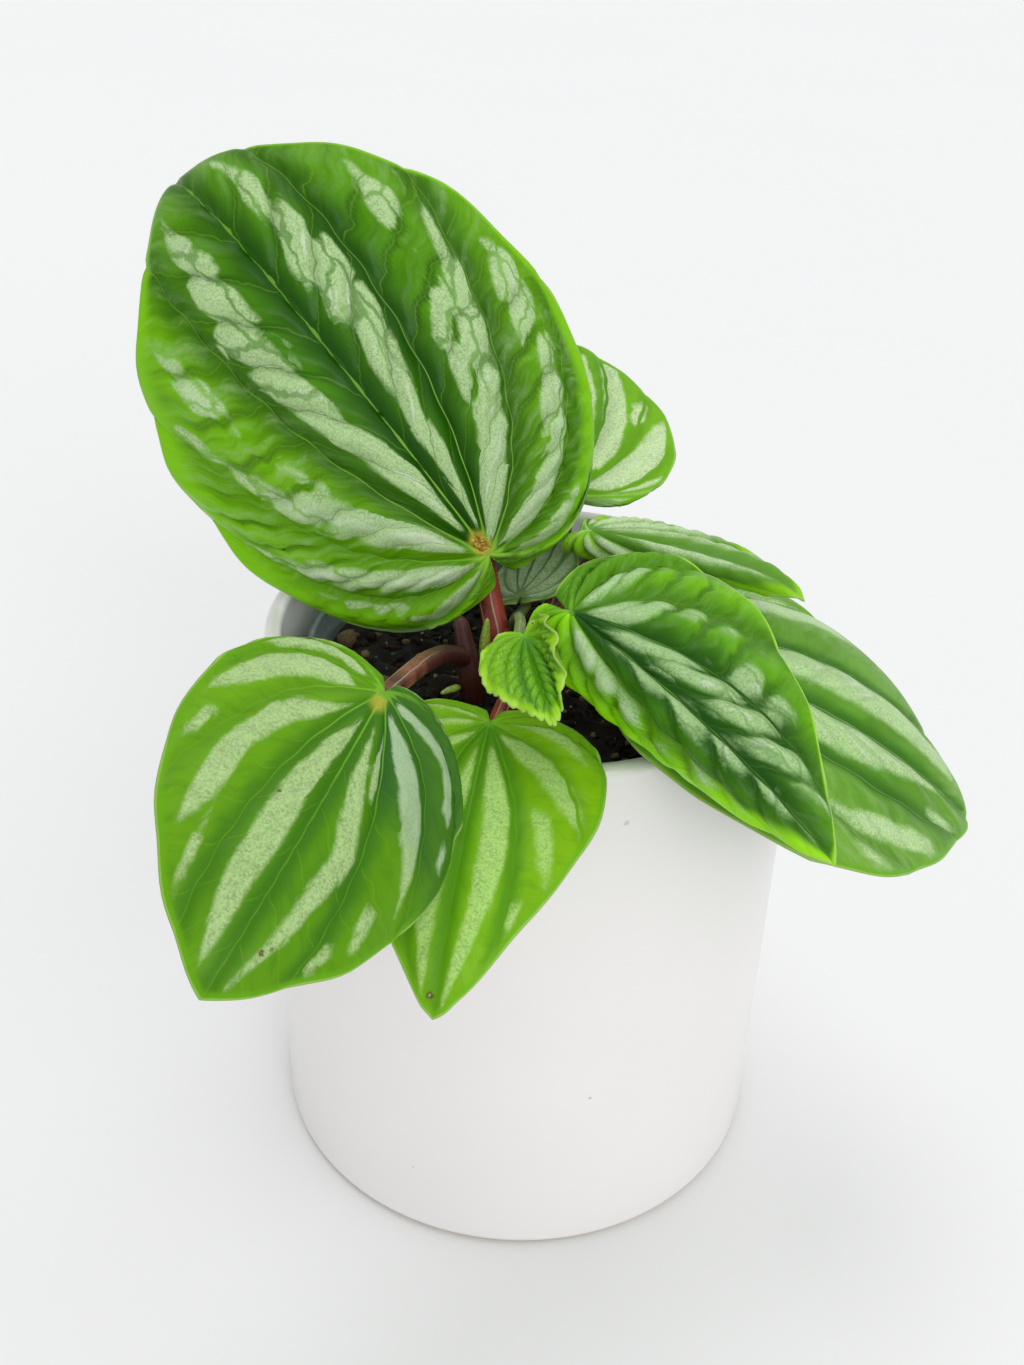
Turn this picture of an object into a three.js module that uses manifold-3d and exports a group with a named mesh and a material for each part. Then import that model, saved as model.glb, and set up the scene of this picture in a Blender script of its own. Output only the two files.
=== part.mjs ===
// A silver-striped peperomia in its nursery pot, standing in a white ceramic cover pot.
// Units are millimetres, +Z is up, and the origin is the centre of the cover pot's base.

import * as THREE from 'three';
import { mergeVertices } from 'three/addons/utils/BufferGeometryUtils.js';
import Module from 'manifold-3d';

const wasm = await Module();
wasm.setup();

// ---------------------------------------------------------------- driving dimensions

const GAP = 0.3;

const COVER_POT = {
  radius: 62,
  height: 141,
  wall: 4,
  floor: 6,
  baseRounding: 3,
  segments: 56,
};

const NURSERY_POT = {
  rimRadius: 53,
  rimHeight: 9,
  rimLip: 2.2,
  height: 128,
  footRadius: 40,
  wall: 1.6,
  segments: 40,
  drainRadius: 4,
  drainRing: 22,
  drains: 5,
};

const SOIL = {
  belowRim: 6,
  lump: 0.9,
  mound: 1.5,
  rings: 9,
  segments: 40,
  stemHoleDepth: 14,
};

const LEAF = {
  thickness: 0.9,
  columnsPerVein: 2,
  rows: 8,
  creaseSoftness: 5,
  marginPleat: 0.25,
};

const STEM_SIDES = 8;
const PETIOLE_STEPS = 9;
const PETIOLE_STRAIGHT_END = 3;
const BLADE_CLEARANCE = 0.5;

// Palmate veins, from the midrib to the edge of the sinus. Each one ends at a share of the margin
// from tip to sinus, and bows towards a shoulder given as shares of blade length and half width.
const VEIN_ENDS = [0, 0.1, 0.28, 0.46, 0.72, 1];
const VEIN_SHOULDERS = [
  [0.5, 0],
  [0.46, 0.5],
  [0.12, 0.62],
  [-0.07, 0.62],
  [-0.15, 0.45],
  [-0.05, 0.03],
];

// Each blade: where the petiole meets it, the compass heading of its midrib (clockwise from +Y),
// its rise above level, its roll about the midrib, its size, and how it bends. Angles are degrees.
// fold is the crease at the midrib and curl the further bend out to the margin, on each side.
const BLADES = {
  leaf_large: {
    base: [-11.2, -3.2, 158.6], heading: -88, rise: 54, roll: -61,
    length: 114, left: 52, right: 50, arch: 28, hook: 60,
    fold: [-16, 3], curl: [-38, -26], lobe: 0.09, widest: 0.36, tipWidth: 0.54, pleat: 2.2,
    color: '#2f7d1f',
  },
  leaf_lower_left: {
    base: [-26.8, -74.6, 165.5], heading: -167, rise: -6, roll: -31,
    length: 66, left: 30, right: 29, arch: 31, hook: 17,
    fold: [-8, -3], curl: [-34, -12], lobe: 0.1, widest: 0.29, tipWidth: 0.54, pleat: 0.7,
    color: '#4a8f2a',
  },
  leaf_lower_middle: {
    base: [-8.1, -53.9, 146.6], heading: -174, rise: 1, roll: -3,
    length: 63, left: 25, right: 26, arch: 57, hook: 8,
    fold: [0, 0], curl: [-14, -8], lobe: 0.13, widest: 0.23, tipWidth: 0.24, pleat: 0.7,
    color: '#5ba42c',
  },
  leaf_right_front: {
    base: [6.8, -49.9, 170.2], heading: 135, rise: -8, roll: 22,
    length: 70, left: 29.5, right: 20, arch: 34, hook: 9,
    fold: [-6, -55], curl: [-15, -54], lobe: 0.13, widest: 0.21, tipWidth: 0.24, pleat: 1.6,
    color: '#2c6f22',
  },
  leaf_right_back: {
    base: [23.1, -31, 152.4], heading: 95, rise: -8, roll: 13,
    length: 90, left: 42, right: 43.5, arch: 44, hook: -3,
    fold: [-3, 0], curl: [-18, -3], lobe: 0.12, widest: 0.39, tipWidth: 0.35, pleat: 1.6,
    color: '#4c8a35',
  },
  leaf_upper_right: {
    base: [11.1, 3.4, 161.9], heading: 115, rise: 7, roll: 3,
    length: 52, left: 24, right: 14, arch: 16, hook: 25,
    fold: [-7, -112], curl: [-25, -59], lobe: 0.14, widest: 0.3, tipWidth: 0.3, pleat: 1.2,
    color: '#5d9a4a',
  },
  leaf_back: {
    base: [4.3, 20, 163.8], heading: 3, rise: 18, roll: -5,
    length: 58, left: 29, right: 29, arch: 1, hook: 1,
    fold: [-4, -2], curl: [-12, -12], lobe: 0.04, widest: 0.3, tipWidth: 0.29, pleat: 0.8,
    color: '#6fb04a',
  },
  leaf_shaded: {
    base: [-3.6, 0.4, 146.5], heading: 12, rise: 17, roll: -19,
    length: 26, left: 12, right: 12, arch: 15, hook: 15,
    fold: [-8, 0], curl: [-18, -5], lobe: 0.11, widest: 0.3, tipWidth: 0.28, pleat: 0.6,
    color: '#7d9c74',
  },
  leaf_young: {
    base: [-1.9, -53.2, 166.4], heading: 166, rise: -7, roll: 12,
    length: 23.5, left: 8, right: 10, arch: 8, hook: 12,
    fold: [58, -2], curl: [3, -9], lobe: 0.13, widest: 0.29, tipWidth: 0.29, pleat: 0.8,
    teeth: 0.05, color: '#9ad52a',
  },
};

// Stems that rise out of plain holes in the soil. Each petiole runs through the points of its path
// and then meets its blade from below; meets is where it ends, in the blade's own axes (ahead, left
// and up from the blade's base).
const STEMS = {
  stem_side: {
    foot: [-13.5, -17.5], radius: 2.8, top: 133, color: '#5a2a22',
    shoot: [[-13.5, -17.5, 131], [-14.6, -16.5, 139], [-16.4, -14, 147]],
    petioles: {
      leaf_lower_left: {
        radius: 2.1, path: [[-15, -16, 139], [-18.5, -25, 145], [-21.8, -38, 151], [-26, -62, 159.5]],
        meets: [0, 0, -1.15],
      },
    },
  },
  stem_crown: {
    foot: [-3.5, -17], radius: 4.6, top: 134, color: '#7a2e26',
    petioles: {
      leaf_large: {
        radius: 2.9, path: [[-4.8, -16, 131], [-8.5, -7.5, 141], [-11.2, -0.9, 149]], meets: [0.5, -0.5, -1.45],
      },
      leaf_lower_middle: {
        radius: 1.8, path: [[-4, -18.5, 131], [-4.6, -26, 137], [-5.6, -38, 141.5]],
      },
      leaf_right_front: {
        radius: 2, path: [[-2, -18.5, 131], [2, -27, 146], [5.5, -41, 159]], meets: [-0.5, 1, -1.4],
      },
      leaf_right_back: {
        radius: 2.2, path: [[-2, -17, 131], [5.6, -20.5, 136.5], [10.8, -22.5, 140.5], [18, -26, 146.5]],
      },
      leaf_upper_right: {
        radius: 1.7, path: [[-2, -15, 132], [0.5, -9, 137], [6, 4, 142], [11.6, 11.5, 150], [14, 10, 156]],
        meets: [1, 3.5, -1.6],
      },
      leaf_back: {
        radius: 1.7, path: [[-3, -14.5, 132], [-0.5, -5, 136.5], [3.2, 12, 139.5], [6.3, 25, 149], [5.6, 25, 157]],
      },
    },
  },
  stem_young: {
    foot: [-4.8, -1.5], radius: 1.6, top: 138, color: '#a9c27a',
    petioles: {
      leaf_shaded: { radius: 1.3, path: [[-4.8, -1.5, 136], [-4.8, -1.5, 141]] },
      leaf_young: { radius: 1.2, path: [[-4.8, -1.5, 137], [-4, -6, 144], [-3.2, -20, 151], [-3, -42, 159]] },
    },
  },
};

// Small pointed buds: two beside the side stem, one at the back of the soil. Each is a spindle from
// its root to its tip.
const BUDS = {
  bud_low: { root: [-16, -19.4, 133.6], tip: [-20.2, -22, 133.2], radius: 0.9, color: '#9dbb3a' },
  bud_side: { root: [-11.4, -14.8, 138.6], tip: [-10.6, -12.4, 147.4], radius: 1.1, color: '#a8b98a' },
  bud_spike: { root: [9.6, 43, 126.5], tip: [9, 42.6, 140.6], radius: 0.8, color: '#b9c926' },
};

const DEGREE = Math.PI / 180;

// ---------------------------------------------------------------- solids and booleans

/** A closed geometry with its shared corners merged, so that only positions are left. */
function weld(geometry) {
  const bare = geometry.clone();
  bare.deleteAttribute('normal');
  bare.deleteAttribute('uv');
  return mergeVertices(bare, 1e-4);
}

function toSolid(geometry) {
  const welded = weld(geometry);
  const mesh = new wasm.Mesh({
    numProp: 3,
    vertProperties: new Float32Array(welded.attributes.position.array),
    triVerts: new Uint32Array(welded.index.array),
  });
  return new wasm.Manifold(mesh);
}

function toGeometry(solid) {
  const mesh = solid.getMesh();
  const geometry = new THREE.BufferGeometry();
  geometry.setAttribute('position', new THREE.BufferAttribute(new Float32Array(mesh.vertProperties), 3));
  geometry.setIndex(new THREE.BufferAttribute(new Uint32Array(mesh.triVerts), 1));
  return geometry;
}

function join(geometries) {
  const solids = geometries.map(toSolid);
  return toGeometry(solids.reduce((sum, solid) => sum.add(solid)));
}

function cut(geometry, tools) {
  const solids = tools.map(toSolid);
  return toGeometry(solids.reduce((rest, tool) => rest.subtract(tool), toSolid(geometry)));
}

function part(name, geometry, color, roughness) {
  const material = new THREE.MeshStandardMaterial({ color, roughness, metalness: 0 });
  const mesh = new THREE.Mesh(geometry, material);
  mesh.name = name;
  return mesh;
}

/** A solid of revolution about +Z; the profile is [radius, height] pairs and closes on itself. */
function turned(profile, segments) {
  const points = profile.map(([radius, height]) => new THREE.Vector2(radius, height));
  return new THREE.LatheGeometry(points, segments).rotateX(Math.PI / 2);
}

function upright(radius, bottom, top, sides) {
  const height = top - bottom;
  const cylinder = new THREE.CylinderGeometry(radius, radius, height, sides).rotateX(Math.PI / 2);
  return cylinder.translate(0, 0, bottom + height / 2);
}

// ---------------------------------------------------------------- pots and soil

function coverPot() {
  const { radius, height, wall, floor, baseRounding } = COVER_POT;
  const inner = radius - wall;
  const lip = wall / 2;
  const profile = [
    [0, 0],
    [radius - baseRounding, 0],
    [radius - baseRounding * 0.3, baseRounding * 0.3],
    [radius, baseRounding],
    [radius, height - lip],
    [radius - lip * 0.3, height - lip * 0.3],
    [radius - lip, height],
    [inner + lip * 0.3, height - lip * 0.3],
    [inner, height - lip],
    [inner, floor + baseRounding],
    [inner - baseRounding, floor],
    [0, floor],
  ];
  return part('cover_pot', turned(profile, COVER_POT.segments), '#f3f1ee', 0.25);
}

const nurseryFoot = COVER_POT.floor + GAP;
const nurseryTop = nurseryFoot + NURSERY_POT.height;
const nurseryFloor = nurseryFoot + NURSERY_POT.wall;
const nurseryInnerFoot = NURSERY_POT.footRadius - NURSERY_POT.wall;
const nurseryInnerTop = NURSERY_POT.rimRadius - NURSERY_POT.rimLip - NURSERY_POT.wall;

function nurseryPot() {
  const { rimRadius, rimHeight, rimLip, footRadius, wall, segments } = NURSERY_POT;
  const profile = [
    [0, nurseryFoot],
    [footRadius, nurseryFoot],
    [rimRadius - rimLip, nurseryTop - rimHeight],
    [rimRadius, nurseryTop - rimHeight],
    [rimRadius, nurseryTop],
    [rimRadius - wall, nurseryTop],
    [rimRadius - wall, nurseryTop - rimHeight + wall],
    [nurseryInnerTop, nurseryTop - rimHeight + wall / 2],
    [nurseryInnerFoot, nurseryFloor],
    [0, nurseryFloor],
  ];
  const drains = [];
  for (let i = 0; i < NURSERY_POT.drains; i += 1) {
    const angle = (2 * Math.PI * i) / NURSERY_POT.drains;
    const drain = upright(NURSERY_POT.drainRadius, nurseryFoot - wall, nurseryFloor + wall, 8);
    const ring = NURSERY_POT.drainRing;
    drains.push(drain.translate(ring * Math.cos(angle), ring * Math.sin(angle), 0));
  }
  return part('nursery_pot', cut(turned(profile, segments), drains), '#5f7370', 0.5);
}

const soilTop = nurseryTop - SOIL.belowRim;

/** The inner radius of the nursery pot's tapered wall at a height. */
function nurseryInnerRadius(z) {
  const share = (z - nurseryFloor) / (nurseryTop - NURSERY_POT.rimHeight - nurseryFloor);
  return nurseryInnerFoot + (nurseryInnerTop - nurseryInnerFoot) * Math.min(share, 1);
}

/** Height of the soil's crumbly surface, a little higher in the middle. */
function soilHeight(x, y, share) {
  const crumbs = Math.sin(0.61 * x + 1.3) * Math.cos(0.53 * y - 0.4) + 0.6 * Math.sin(0.9 * y + 0.37 * x);
  return soilTop + SOIL.mound * (1 - share * share) + SOIL.lump * crumbs * (1 - share ** 6);
}

/** The soil: rings of corners over the top, down the pot's taper, and in under the bottom. */
function soilBody() {
  const { rings, segments } = SOIL;
  const corners = [];
  const faces = [];
  const shoulder = nurseryTop - NURSERY_POT.rimHeight;
  const outerTop = nurseryInnerRadius(shoulder) - GAP;
  const outerFoot = nurseryInnerFoot - GAP;
  const foot = nurseryFloor + GAP;
  corners.push([0, 0, soilHeight(0, 0, 0)]);
  const ringOf = (radius, heightAt) => {
    for (let i = 0; i < segments; i += 1) {
      const angle = (2 * Math.PI * i) / segments;
      const x = radius * Math.cos(angle);
      const y = radius * Math.sin(angle);
      corners.push([x, y, heightAt(x, y)]);
    }
  };
  for (let r = 1; r <= rings; r += 1) {
    const share = r / rings;
    ringOf(outerTop * share, (x, y) => soilHeight(x, y, share));
  }
  ringOf(outerFoot, () => foot);
  corners.push([0, 0, foot]);
  const ringCount = rings + 1;
  const corner = (ring, i) => 1 + (ring - 1) * segments + (i % segments);
  for (let i = 0; i < segments; i += 1) {
    faces.push([0, corner(1, i), corner(1, i + 1)]);
    for (let r = 1; r < ringCount; r += 1) {
      faces.push([corner(r, i), corner(r + 1, i), corner(r + 1, i + 1)]);
      faces.push([corner(r, i), corner(r + 1, i + 1), corner(r, i + 1)]);
    }
    faces.push([corners.length - 1, corner(ringCount, i + 1), corner(ringCount, i)]);
  }
  return indexed(corners, faces);
}

function indexed(corners, faces) {
  const geometry = new THREE.BufferGeometry();
  geometry.setAttribute('position', new THREE.Float32BufferAttribute(corners.flat(), 3));
  geometry.setIndex(faces.flat());
  return geometry;
}

function soil() {
  const holes = Object.values(STEMS).map(({ foot, radius }) => {
    const hole = upright(radius + GAP + 0.1, soilTop - SOIL.stemHoleDepth, soilTop + 9, 16);
    return hole.translate(foot[0], foot[1], 0);
  });
  const { root, radius } = BUDS.bud_spike;
  holes.push(upright(radius + GAP + 0.2, root[2] - GAP, soilTop + 9, 12).translate(root[0], root[1], 0));
  return part('soil', cut(soilBody(), holes), '#2c211b', 0.95);
}

// ---------------------------------------------------------------- leaf blades

function cubic(a, b, c, d, t) {
  const m = 1 - t;
  return m ** 3 * a + 3 * m * m * t * b + 3 * m * t * t * c + t ** 3 * d;
}

/** A point of the flat heart-shaped margin, as shares of length and half width. */
function marginPoint(blade, u) {
  const { widest, lobe, tipWidth } = blade;
  if (u <= 0.5) {
    const t = u / 0.5;
    return [cubic(1, 0.86, widest + 0.3, widest, t), cubic(0, tipWidth, 1, 1, t)];
  }
  const t = (u - 0.5) / 0.5;
  return [cubic(widest, widest - 0.26, -lobe * 1.3, -lobe * 0.7, t), cubic(1, 1, 0.6, 0.06, t)];
}

/** Which interval between two veins holds u, and how far across it u lies. */
function veinInterval(u) {
  let k = 0;
  while (k < VEIN_ENDS.length - 2 && u >= VEIN_ENDS[k + 1]) k += 1;
  return [k, (u - VEIN_ENDS[k]) / (VEIN_ENDS[k + 1] - VEIN_ENDS[k])];
}

/** A point of the flat blade, s of the way out along the bowed line that ends at margin share u. */
function flatPoint(blade, u, s) {
  const [k, across] = veinInterval(u);
  const tooth = (blade.teeth ?? 0) * Math.cos(Math.PI * 2 * across) * s ** 6;
  return [0, 1].map((axis) => {
    const shoulder = THREE.MathUtils.lerp(VEIN_SHOULDERS[k][axis], VEIN_SHOULDERS[k + 1][axis], across);
    return 2 * s * (1 - s) * shoulder + s * s * marginPoint(blade, u)[axis] * (1 + tooth);
  });
}

/** How far the quilted blade stands up between two veins. */
function pleat(u, s) {
  const across = veinInterval(u)[1];
  return Math.sin(Math.PI * across) ** 2 * (Math.sin(Math.PI * s ** 0.8) + LEAF.marginPleat * s * s);
}

/** Walks along a line that turns by angleAt(distance), and looks up where it has got to. */
function bentLine(angleAt, from, to) {
  const steps = 90;
  const step = (to - from) / steps;
  const along = [0];
  const up = [0];
  for (let i = 1; i <= steps; i += 1) {
    const a = angleAt(from + (i - 1) * step);
    const b = angleAt(from + i * step);
    along.push(along[i - 1] + ((Math.cos(a) + Math.cos(b)) / 2) * step);
    up.push(up[i - 1] + ((Math.sin(a) + Math.sin(b)) / 2) * step);
  }
  const lookUp = (table, distance) => {
    const at = THREE.MathUtils.clamp((distance - from) / step, 0, steps - 1e-9);
    const i = Math.floor(at);
    return THREE.MathUtils.lerp(table[i], table[i + 1], at - i);
  };
  return (distance) => ({
    along: lookUp(along, distance) - lookUp(along, 0),
    up: lookUp(up, distance) - lookUp(up, 0),
    angle: angleAt(distance),
  });
}

/** The blade's own axes: along the midrib, to its left, and out of its upper face. */
function bladeAxes(blade) {
  const heading = blade.heading * DEGREE;
  const rise = blade.rise * DEGREE;
  const roll = blade.roll * DEGREE;
  const flat = Math.cos(rise);
  const ahead = new THREE.Vector3(Math.sin(heading) * flat, Math.cos(heading) * flat, Math.sin(rise));
  const level = new THREE.Vector3(-Math.cos(heading), Math.sin(heading), 0);
  const above = new THREE.Vector3().crossVectors(ahead, level);
  const left = level.clone().multiplyScalar(Math.cos(roll)).addScaledVector(above, Math.sin(roll));
  const up = above.multiplyScalar(Math.cos(roll)).addScaledVector(level, -Math.sin(roll));
  return { ahead, left, up };
}

/** The blade's middle surface: a function of side (+1 left, -1 right), u and s. */
function bladeSurface(blade) {
  const { ahead, left, up } = bladeAxes(blade);
  const { length } = blade;
  const hookFrom = 0.62;
  const midribAngle = (distance) => {
    const share = distance / length;
    const hooked = Math.max((share - hookFrom) / (1 - hookFrom), 0);
    return -DEGREE * (blade.arch * share + blade.hook * hooked * hooked);
  };
  const midrib = bentLine(midribAngle, -0.35 * length, 1.02 * length);
  const sections = [blade.left, blade.right].map((half, index) => {
    const fold = blade.fold[index] * DEGREE;
    const curl = blade.curl[index] * DEGREE;
    const angleAt = (distance) => fold * Math.min(distance / LEAF.creaseSoftness, 1) + (curl * distance) / half;
    return bentLine(angleAt, 0, 1.1 * half);
  });
  return (side, u, s) => {
    const [x, y] = flatPoint(blade, u, s);
    const half = side > 0 ? blade.left : blade.right;
    const rib = midrib(x * length);
    const section = sections[side > 0 ? 0 : 1](y * half);
    const raised = blade.pleat * pleat(u, s);
    const across = section.along - raised * Math.sin(section.angle);
    const above = section.up + raised * Math.cos(section.angle);
    const aheadShare = rib.along - above * Math.sin(rib.angle);
    const upShare = rib.up + above * Math.cos(rib.angle);
    return new THREE.Vector3(...blade.base)
      .addScaledVector(ahead, aheadShare)
      .addScaledVector(left, side * across)
      .addScaledVector(up, upShare);
  };
}

/** Margin shares of the columns from the right sinus edge over the tip to the left sinus edge. */
function bladeColumns() {
  const half = [];
  for (let k = 0; k < VEIN_ENDS.length - 1; k += 1) {
    for (let i = 0; i < LEAF.columnsPerVein; i += 1) {
      const across = i / LEAF.columnsPerVein;
      half.push(THREE.MathUtils.lerp(VEIN_ENDS[k], VEIN_ENDS[k + 1], across));
    }
  }
  half.push(1);
  const right = half.slice(1).reverse().map((u) => [-1, u]);
  const left = half.map((u) => [1, u]);
  return [...right, ...left];
}

/** A thin closed blade: the same triangles on its upper and lower face, and a strip round the edge. */
function bladeGeometry(blade) {
  const surface = bladeSurface(blade);
  const columns = bladeColumns();
  const { rows } = LEAF;
  const middle = [surface(1, 0, 0)];
  for (const [side, u] of columns) {
    for (let row = 1; row <= rows; row += 1) {
      middle.push(surface(side, u, (row / rows) ** 0.85));
    }
  }
  const at = (column, row) => (row === 0 ? 0 : 1 + column * rows + row - 1);
  const upper = [];
  for (let c = 0; c < columns.length - 1; c += 1) {
    upper.push([0, at(c, 1), at(c + 1, 1)]);
    for (let row = 1; row < rows; row += 1) {
      upper.push([at(c, row), at(c, row + 1), at(c + 1, row + 1)]);
      upper.push([at(c, row), at(c + 1, row + 1), at(c + 1, row)]);
    }
  }
  const normals = middle.map(() => new THREE.Vector3());
  for (const [a, b, c] of upper) {
    const ab = middle[b].clone().sub(middle[a]);
    const ac = middle[c].clone().sub(middle[a]);
    const facing = ab.cross(ac);
    for (const corner of [a, b, c]) normals[corner].add(facing);
  }
  const half = LEAF.thickness / 2;
  const shifted = (offset) => middle.map((p, i) => p.clone().addScaledVector(normals[i].normalize(), offset));
  const corners = [...shifted(half), ...shifted(-half)].map((p) => p.toArray());
  const below = middle.length;
  const faces = [...upper];
  for (const [a, b, c] of upper) faces.push([below + a, below + c, below + b]);
  const last = columns.length - 1;
  const edge = [];
  for (let row = 0; row <= rows; row += 1) edge.push(at(0, row));
  for (let c = 1; c <= last; c += 1) edge.push(at(c, rows));
  for (let row = rows - 1; row >= 1; row -= 1) edge.push(at(last, row));
  edge.forEach((a, i) => {
    const b = edge[(i + 1) % edge.length];
    faces.push([a, below + a, below + b], [a, below + b, b]);
  });
  return indexed(corners, faces);
}

// ---------------------------------------------------------------- stems and petioles

function tube(curve, radius) {
  const section = new THREE.Shape();
  for (let i = 0; i < STEM_SIDES; i += 1) {
    const angle = (2 * Math.PI * i) / STEM_SIDES;
    const x = radius * Math.cos(angle);
    const y = radius * Math.sin(angle);
    if (i === 0) section.moveTo(x, y);
    else section.lineTo(x, y);
  }
  return new THREE.ExtrudeGeometry(section, { steps: PETIOLE_STEPS, extrudePath: curve, curveSegments: 1 });
}

function through(points) {
  return new THREE.CatmullRomCurve3(points.map((point) => new THREE.Vector3(...point)), false, 'centripetal');
}

/** A petiole along its path, whose end stands square below the blade. */
function petiole(blade, { radius, path, meets = [0, 0, -LEAF.thickness / 2 - BLADE_CLEARANCE] }) {
  const { ahead, left, up } = bladeAxes(blade);
  const end = new THREE.Vector3(...blade.base)
    .addScaledVector(ahead, meets[0])
    .addScaledVector(left, meets[1])
    .addScaledVector(up, meets[2]);
  const approach = end.clone().addScaledVector(up, -PETIOLE_STRAIGHT_END);
  return tube(through([...path, approach.toArray(), end.toArray()]), radius);
}

function stem(name, { foot, radius, top, color, shoot, petioles }) {
  const bottom = soilTop - SOIL.stemHoleDepth + GAP;
  const pieces = [upright(radius, bottom, top, 12).translate(foot[0], foot[1], 0)];
  if (shoot) pieces.push(tube(through(shoot), radius));
  for (const [leaf, spec] of Object.entries(petioles)) pieces.push(petiole(BLADES[leaf], spec));
  return part(name, join(pieces), color, 0.4);
}

/** A slim spindle, blunt at the root and pointed at the tip. */
function bud(name, { root, tip, radius, color }) {
  const from = new THREE.Vector3(...root);
  const along = new THREE.Vector3(...tip).sub(from);
  const shape = [[0, 0], [0.55, 0], [0.85, 0.12], [1, 0.35], [0.8, 0.68], [0.4, 0.92], [0, 1]];
  const profile = shape.map(([r, share]) => new THREE.Vector2(r * radius, share * along.length()));
  const turn = new THREE.Quaternion().setFromUnitVectors(new THREE.Vector3(0, 1, 0), along.clone().normalize());
  const geometry = new THREE.LatheGeometry(profile, 10).applyQuaternion(turn);
  return part(name, geometry.translate(...root), color, 0.45);
}

// ---------------------------------------------------------------- the plant

const plant = new THREE.Group();
plant.add(coverPot(), nurseryPot(), soil());
for (const [name, spec] of Object.entries(BUDS)) plant.add(bud(name, spec));
for (const [name, spec] of Object.entries(STEMS)) plant.add(stem(name, spec));
for (const [name, blade] of Object.entries(BLADES)) {
  plant.add(part(name, bladeGeometry(blade), blade.color, 0.35));
}

export default plant;
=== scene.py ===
"""Looks of a silver-striped peperomia in its nursery pot and white cover pot.

Sizes below are millimetres, as in the part, and meshes are made in metres. +Z is up, the origin is
the centre of the cover pot's base, and the camera looks along +Y and down.
"""
from math import cos, pi, sin, sqrt

import bpy
import numpy as np
from mathutils import Matrix, Vector


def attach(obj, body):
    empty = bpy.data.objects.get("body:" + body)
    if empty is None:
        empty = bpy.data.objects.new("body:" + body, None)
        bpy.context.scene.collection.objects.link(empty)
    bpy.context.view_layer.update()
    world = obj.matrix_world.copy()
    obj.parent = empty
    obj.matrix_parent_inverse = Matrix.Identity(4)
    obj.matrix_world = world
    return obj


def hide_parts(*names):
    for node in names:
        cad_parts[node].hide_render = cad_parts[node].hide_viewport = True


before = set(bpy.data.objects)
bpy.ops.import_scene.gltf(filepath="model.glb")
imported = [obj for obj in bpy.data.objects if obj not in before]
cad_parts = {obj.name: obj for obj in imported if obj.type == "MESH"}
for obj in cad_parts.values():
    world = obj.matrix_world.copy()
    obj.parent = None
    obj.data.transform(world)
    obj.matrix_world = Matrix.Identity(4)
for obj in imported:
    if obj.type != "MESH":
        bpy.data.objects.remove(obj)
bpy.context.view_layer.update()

MM = .001
RNG_SEED = 41
DEGREE = pi / 180

# ---------------------------------------------------------------- driving dimensions

COVER_POT = {"radius": 62, "height": 141, "wall": 4, "floor": 6, "rounding": 3, "segments": 160}
NURSERY_POT = {
    "rim_radius": 53, "rim_height": 9, "rim_lip": 2.2, "height": 128, "foot_radius": 40,
    "wall": 1.6, "segments": 120,
}
GAP = .3
NURSERY_FOOT = COVER_POT["floor"] + GAP
NURSERY_TOP = NURSERY_FOOT + NURSERY_POT["height"]
SOIL_TOP = NURSERY_TOP - 6
SOIL_RADIUS = NURSERY_POT["rim_radius"] - NURSERY_POT["rim_lip"] - NURSERY_POT["wall"] - GAP
SOIL_FOOT_RADIUS = NURSERY_POT["foot_radius"] - NURSERY_POT["wall"] - GAP
SOIL_FOOT = NURSERY_FOOT + NURSERY_POT["wall"] + GAP
STEM_FOOT = SOIL_TOP - 13.5

LEAF_THICKNESS = .9
EDGE_THICKNESS = .45
TAPER_WIDTH = 2.5
RIM_BULGE = .4
COLUMN_SPACING = 5
ROW_SPACING = 1.25
CREASE_SOFTNESS = 5
MARGIN_PLEAT = .25
# Where each main vein ends, as a share of the way round the margin from the tip, and the shoulder of
# its curve, as shares of the blade's length and half width.
VEIN_ENDS = np.array([0, .1, .28, .46, .72, 1])
VEIN_SHOULDERS = np.array(
    [(.5, 0), (.46, .5), (.12, .62), (-.07, .62), (-.15, .45), (-.05, .03)]
)

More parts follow.
